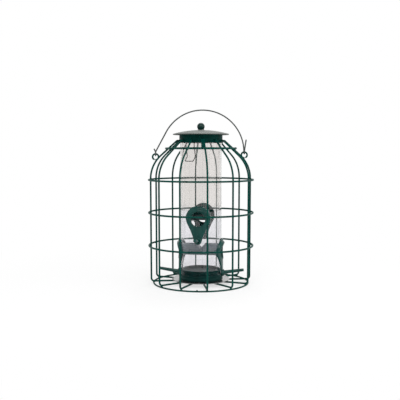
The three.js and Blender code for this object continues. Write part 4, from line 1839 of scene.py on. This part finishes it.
@dataclass
class Lid:
    """The dished lid with its ball knob and the spring clip inside the tube."""

    sweeper: SweepTree
    radius: float = 0.046
    rise: float = 0.0064
    thickness: float = 0.0009
    lip: float = 0.0015
    dish_steps: int = 14
    dish_margin: float = 0.0016
    knob_radius: float = 0.0063
    knob_centre_rise: float = 0.0056
    knob_foot_radius: float = 0.0053
    knob_foot_height: float = 0.0012
    knob_bore_depth: float = 0.006
    knob_steps: int = 24
    clip_wire: float = 0.00075
    clip_sides: int = 12
    clip_gap: float = 0.0003
    clip_start: Pair = (0.0042, 0.003)
    clip_start_reach: float = 0.0085
    clip_azimuth: float = math.radians(-45)
    clip_half_width: float = 0.0082
    clip_bend: float = 0.0024
    clip_top_inset: float = 0.0024
    clip_waist_inset: float = 0.0055
    clip_drops: Corner = (0.0213, 0.0363, 0.0443)
    tube_bore: float = 0.0323

    @property
    def rim_height(self) -> float:
        """Height of the lid's edge, from the frame's node."""
        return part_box("lid")[0].z + self.lip

    @property
    def top_height(self) -> float:
        """Height of the lid's crown."""
        return self.rim_height + self.rise

    def top_at(self, radius: float) -> float:
        """Height of the dished sheet's upper face at a radius."""
        sphere = (self.radius**2 + self.rise**2) / (2 * self.rise)
        return self.top_height - (sphere - math.sqrt(sphere**2 - radius**2))

    def build_sheet(self) -> None:
        """Builds the lid's sheet, with its edge turned down."""
        inner = self.radius - self.thickness
        bottom = self.rim_height - self.lip
        dish = self.radius - self.dish_margin - SCREW_HOLE
        radii = [SCREW_HOLE + dish * i / self.dish_steps for i in range(self.dish_steps + 1)]
        profile = [
            (inner, bottom, FINE),
            (self.radius, bottom, FINE),
            (self.radius, self.top_at(self.radius), ROUND),
            *((r, self.top_at(r), 0.0) for r in reversed(radii)),
            *((r, self.top_at(r) - self.thickness, 0.0) for r in radii),
            (inner, self.top_at(inner) - self.thickness, SOFT),
        ]
        draft = Draft()
        draft.lathe(profile, Facets.LID)
        fit_piece(draft.to_object("lid_sheet"), Body.LID, Finish.LID_PAINT, "lid")

    def build_knob(self) -> None:
        """Builds the ball knob on its short foot."""
        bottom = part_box("knob")[0].z
        centre = self.top_height + self.knob_centre_rise
        foot_top = bottom + self.knob_foot_height
        start = math.asin((foot_top - centre) / self.knob_radius)
        ball = [
            (self.knob_radius * math.cos(a), centre + self.knob_radius * math.sin(a), 0.0)
            for a in (start + (QUARTER - start) * i / self.knob_steps for i in range(self.knob_steps))
        ]
        profile = [
            (0, bottom + self.knob_bore_depth, 0),
            (SCREW_HOLE, bottom + self.knob_bore_depth, CRISP),
            (SCREW_HOLE, bottom, CRISP),
            (self.knob_foot_radius, bottom, SMALL),
            (self.knob_foot_radius, foot_top, FINE),
            *ball,
            (0, centre + self.knob_radius, 0),
        ]
        draft = Draft()
        draft.lathe(profile, Facets.KNOB)
        fit_piece(draft.to_object("ball_knob"), Body.LID, Finish.KNOB_PLASTIC, "knob")

    def build_clip(self) -> None:
        """Builds the spring clip: legs under the lid, down the tube and bowed in, joined at the foot."""
        under = self.thickness + self.clip_gap + self.clip_wire
        foot = math.sqrt((self.tube_bore - self.clip_gap - self.clip_wire) ** 2 - self.clip_half_width**2)
        top, waist = foot - self.clip_top_inset, foot - self.clip_waist_inset
        start, aside = self.clip_start
        leg = [
            (start, aside, self.top_at(self.clip_start_reach) - under),
            (top, self.clip_half_width, self.top_at(top + self.clip_bend) - under),
        ]
        for out, drop in zip((top, waist, foot), self.clip_drops):
            leg.append((out, self.clip_half_width, self.rim_height - drop))
        corners = [Vector((x, -y, z)) for x, y, z in leg] + [Vector(corner) for corner in reversed(leg)]
        path = WirePath(corners[0], corners[1] - corners[0])
        for corner, following in zip(corners[1:], corners[2:]):
            path.bend(corner, following, self.clip_bend)
        path.run_to(corners[-1])
        turn = facing(self.clip_azimuth)
        line = [turn @ p for p in path.points]
        clip = self.sweeper.sweep(
            "lid_spring_clip", line, self.clip_wire, Finish.SPRING, sides=self.clip_sides
        )
        fit_piece(clip, Body.LID, Finish.SPRING, "lid_clip")

    def build(self) -> None:
        """Builds the lid with what hangs under it."""
        self.build_sheet()
        self.build_knob()
        self.build_clip()
        Screw("lid", Body.LID, "knob_screw", "lid_washer").build()


@dataclass
class Bail:
    """The spring wire bail that hooks in the cage's two eyes."""

    sweeper: SweepTree
    cage: Cage
    wire_radius: float = 0.0011
    running_gap: float = 0.0003
    arch_inset: float = 0.00465
    arch_rise: float = 0.00045
    leg_bend: float = 0.006
    leg_rise: float = 0.003
    tail_bend: float = 0.003
    tails: dict[int, Pair] = field(default_factory=lambda: {1: (0.0027, 0.0205), -1: (0.0027, 0.0084)})

    @property
    def hook(self) -> float:
        """Radius of the hooks' centre line round the eyes' wire."""
        return self.cage.eye_wire_radius + self.running_gap + self.wire_radius

    def beside(self, side: int, back: float, rise: float) -> Vector:
        """A point back from and above the pivot of one side, 1 for the right and -1 for the left."""
        return self.cage.eye_centre(side) + UP * self.cage.eye_radius + Vector((0, back, rise))

    def tail_end(self, side: int) -> Vector:
        """The end of the tail on one side."""
        lean, rise = self.tails[side]
        return self.beside(side, -self.hook, rise) + Vector((side * lean, 0, 0))

    def round_hook(self, path: WirePath, side: int, way: int) -> None:
        """Bends the wire round the eye of one side.

        Args:
            path: The wire's path.
            side: 1 for the right and -1 for the left.
            way: 1 where the wire goes to the back and -1 where it comes to the front.
        """
        hook = self.hook
        path.bend(self.beside(side, -way * hook, -hook), self.beside(side, 0, -hook), hook)
        path.bend(self.beside(side, way * hook, -hook), self.beside(side, way * hook, 0), hook)

    def build(self) -> None:
        """Builds the bail, from its right tail round the right hook, over the arch and to the left tail."""
        hook = self.hook
        right, left = self.beside(1, hook, 0), self.beside(-1, hook, 0)
        arch_radius = (right.x - left.x) / 2 - self.arch_inset
        arch = right + Vector((-arch_radius, 0, self.arch_rise))
        knee = self.beside(-1, hook, self.leg_rise)
        to_knee = knee - arch
        turn = math.atan2(to_knee.z, to_knee.x) % FULL_TURN - math.acos(arch_radius / to_knee.length)
        tail_foot = self.beside(1, -hook, self.leg_rise)
        path = WirePath(self.tail_end(1), tail_foot - self.tail_end(1))
        path.bend(tail_foot, self.beside(1, -hook, -hook), self.tail_bend)
        self.round_hook(path, 1, 1)
        path.run_to(Vector((right.x, arch.y, arch.z)))
        path.arc(arch, -BACK, turn)
        path.bend(knee, left, self.leg_bend)
        self.round_hook(path, -1, -1)
        path.bend(self.beside(-1, -hook, self.leg_rise), self.tail_end(-1), self.tail_bend)
        path.run_to(self.tail_end(-1))
        bail = self.sweeper.sweep("spring_bail", path.points, self.wire_radius, Finish.BAIL_PAINT)
        fit_piece(bail, Body.BAIL, Finish.BAIL_PAINT, "bail_handle")


# The portrait


@dataclass(frozen=True)
class Softbox:
    """One soft lamp: its place, the side of its square and its power."""

    name: str
    place: Corner
    size: float
    watts: float


@dataclass
class Portrait:
    """The camera at the photograph's viewpoint, the pale floor, the lamps and the white surroundings."""

    azimuth: float = math.radians(-7)
    distance: float = 1.06
    eye_height: float = 0.2121
    metres_per_pixel: float = 0.001638
    horizon_pixel: float = 152.9
    sideways_pixels: float = 0.9
    frame_pixels: float = 400.0
    sensor_mm: float = 36.0
    floor_radius: float = 9.0
    floor_top: float = -0.00002
    floor_bottom: float = -0.001
    floor_white: tuple[float, float, float, float] = (0.93, 0.93, 0.93, 1.0)
    floor_grain: Pair = (30.0, 2.0)
    floor_roughness: Pair = (0.85, 0.95)
    floor_specular: float = 0.1
    fade_radii: Pair = (0.02, 0.5)
    fade_start: float = 0.62
    world_light: float = 0.62
    aim: Corner = (0.0, 0.0, 0.13)
    lamps: tuple[Softbox, ...] = (
        Softbox("key_softbox", (-0.15, -1.05, 1.2), 0.7, 9.0),
        Softbox("fill_softbox", (0.9, -0.6, 0.5), 1.0, 3.5),
        Softbox("rim_softbox", (0.2, 0.7, 1.4), 0.7, 5.0),
    )

    def set_camera(self) -> None:
        """Sets a level camera whose shift puts the horizon where the photograph has it."""
        lens = bpy.data.cameras.new("portrait_camera")
        lens.sensor_width = self.sensor_mm
        lens.lens = self.sensor_mm * self.distance / (self.metres_per_pixel * self.frame_pixels)
        lens.shift_x = -self.sideways_pixels / self.frame_pixels
        lens.shift_y = (self.horizon_pixel - self.frame_pixels / 2) / self.frame_pixels
        camera = put("portrait_camera", lens)
        out = Vector((math.sin(self.azimuth), -math.cos(self.azimuth), 0)) * self.distance
        camera.location = out + UP * self.eye_height
        camera.rotation_euler = (QUARTER, 0, self.azimuth)
        bpy.context.scene.camera = camera

    def set_floor(self) -> None:
        """Lays a white floor that keeps the feeder's shadow and fades to plain white further out."""
        low, high, edge = self.floor_bottom, self.floor_top, self.floor_radius
        draft = Draft()
        draft.lathe([(0, low, 0), (edge, low, 0), (edge, high, 0), (0, high, 0)], Facets.FLOOR)
        floor = draft.to_object("studio_floor")
        graph = Graph("white_floor")
        grain = graph.noise(*self.floor_grain)
        graph.shine(
            base_color=self.floor_white,
            roughness=graph.spread(grain, *self.floor_roughness),
            specular_ior_level=self.floor_specular,
        )
        apart = graph.node("ShaderNodeVectorMath", {0: graph.place}, operation="LENGTH").outputs["Value"]
        fade = graph.spread(apart, self.fade_start, 1.0, self.fade_radii, smooth=True)
        seen = graph.node("ShaderNodeMath", {0: fade, 1: graph.sight()}, operation="MULTIPLY")
        white = graph.node("ShaderNodeEmission").outputs["Emission"]
        graph.show(graph.blend(seen.outputs["Value"], graph.shader.outputs["BSDF"], white))
        floor.data.materials.append(graph.material)

    def set_world(self) -> None:
        """Surrounds the feeder with white for sight, and with soft light of its own level."""
        world = bpy.data.worlds.new("white_surroundings")
        world.use_nodes = True
        bpy.context.scene.world = world
        tree = NodeTree(world.node_tree)
        light, white = (
            tree.node("ShaderNodeBackground", {"Color": (1, 1, 1, 1), "Strength": strength})
            for strength in (self.world_light, 1.0)
        )
        both = tree.blend(tree.sight(), light.outputs["Background"], white.outputs["Background"])
        tree.node("ShaderNodeOutputWorld", {"Surface": both})

    def set_lamps(self) -> None:
        """Hangs three soft lamps, which don't show through the clear plastic.

        The key stands above the camera, a weaker one on the right, and one high behind.
        """
        for softbox in self.lamps:
            lamp = bpy.data.lights.new(softbox.name, "AREA")
            lamp.shape = "SQUARE"
            lamp.size = softbox.size
            lamp.energy = softbox.watts
            hung = put(softbox.name, lamp)
            place = Vector(softbox.place)
            hung.location = place
            hung.visible_transmission = False
            hung.rotation_euler = (Vector(self.aim) - place).to_track_quat("-Z", "Y").to_euler()

    def build(self) -> None:
        """Sets up the whole portrait."""
        self.set_camera()
        self.set_floor()
        self.set_world()
        self.set_lamps()
        bpy.context.scene.view_settings.view_transform = "Standard"


def main() -> None:
    """Sets the portrait up and builds each sub-assembly, logging the faces of each piece as it is fitted.
    """
    logging.basicConfig(level=logging.INFO, format="%(name)s: %(message)s")
    Portrait().build()
    sweeper = SweepTree()
    cage = Cage(sweeper, WeldTree())
    cage.build()
    SeedHolder().build()
    Lid(sweeper).build()
    Bail(sweeper, cage).build()


if __name__ == "__main__":
    main()
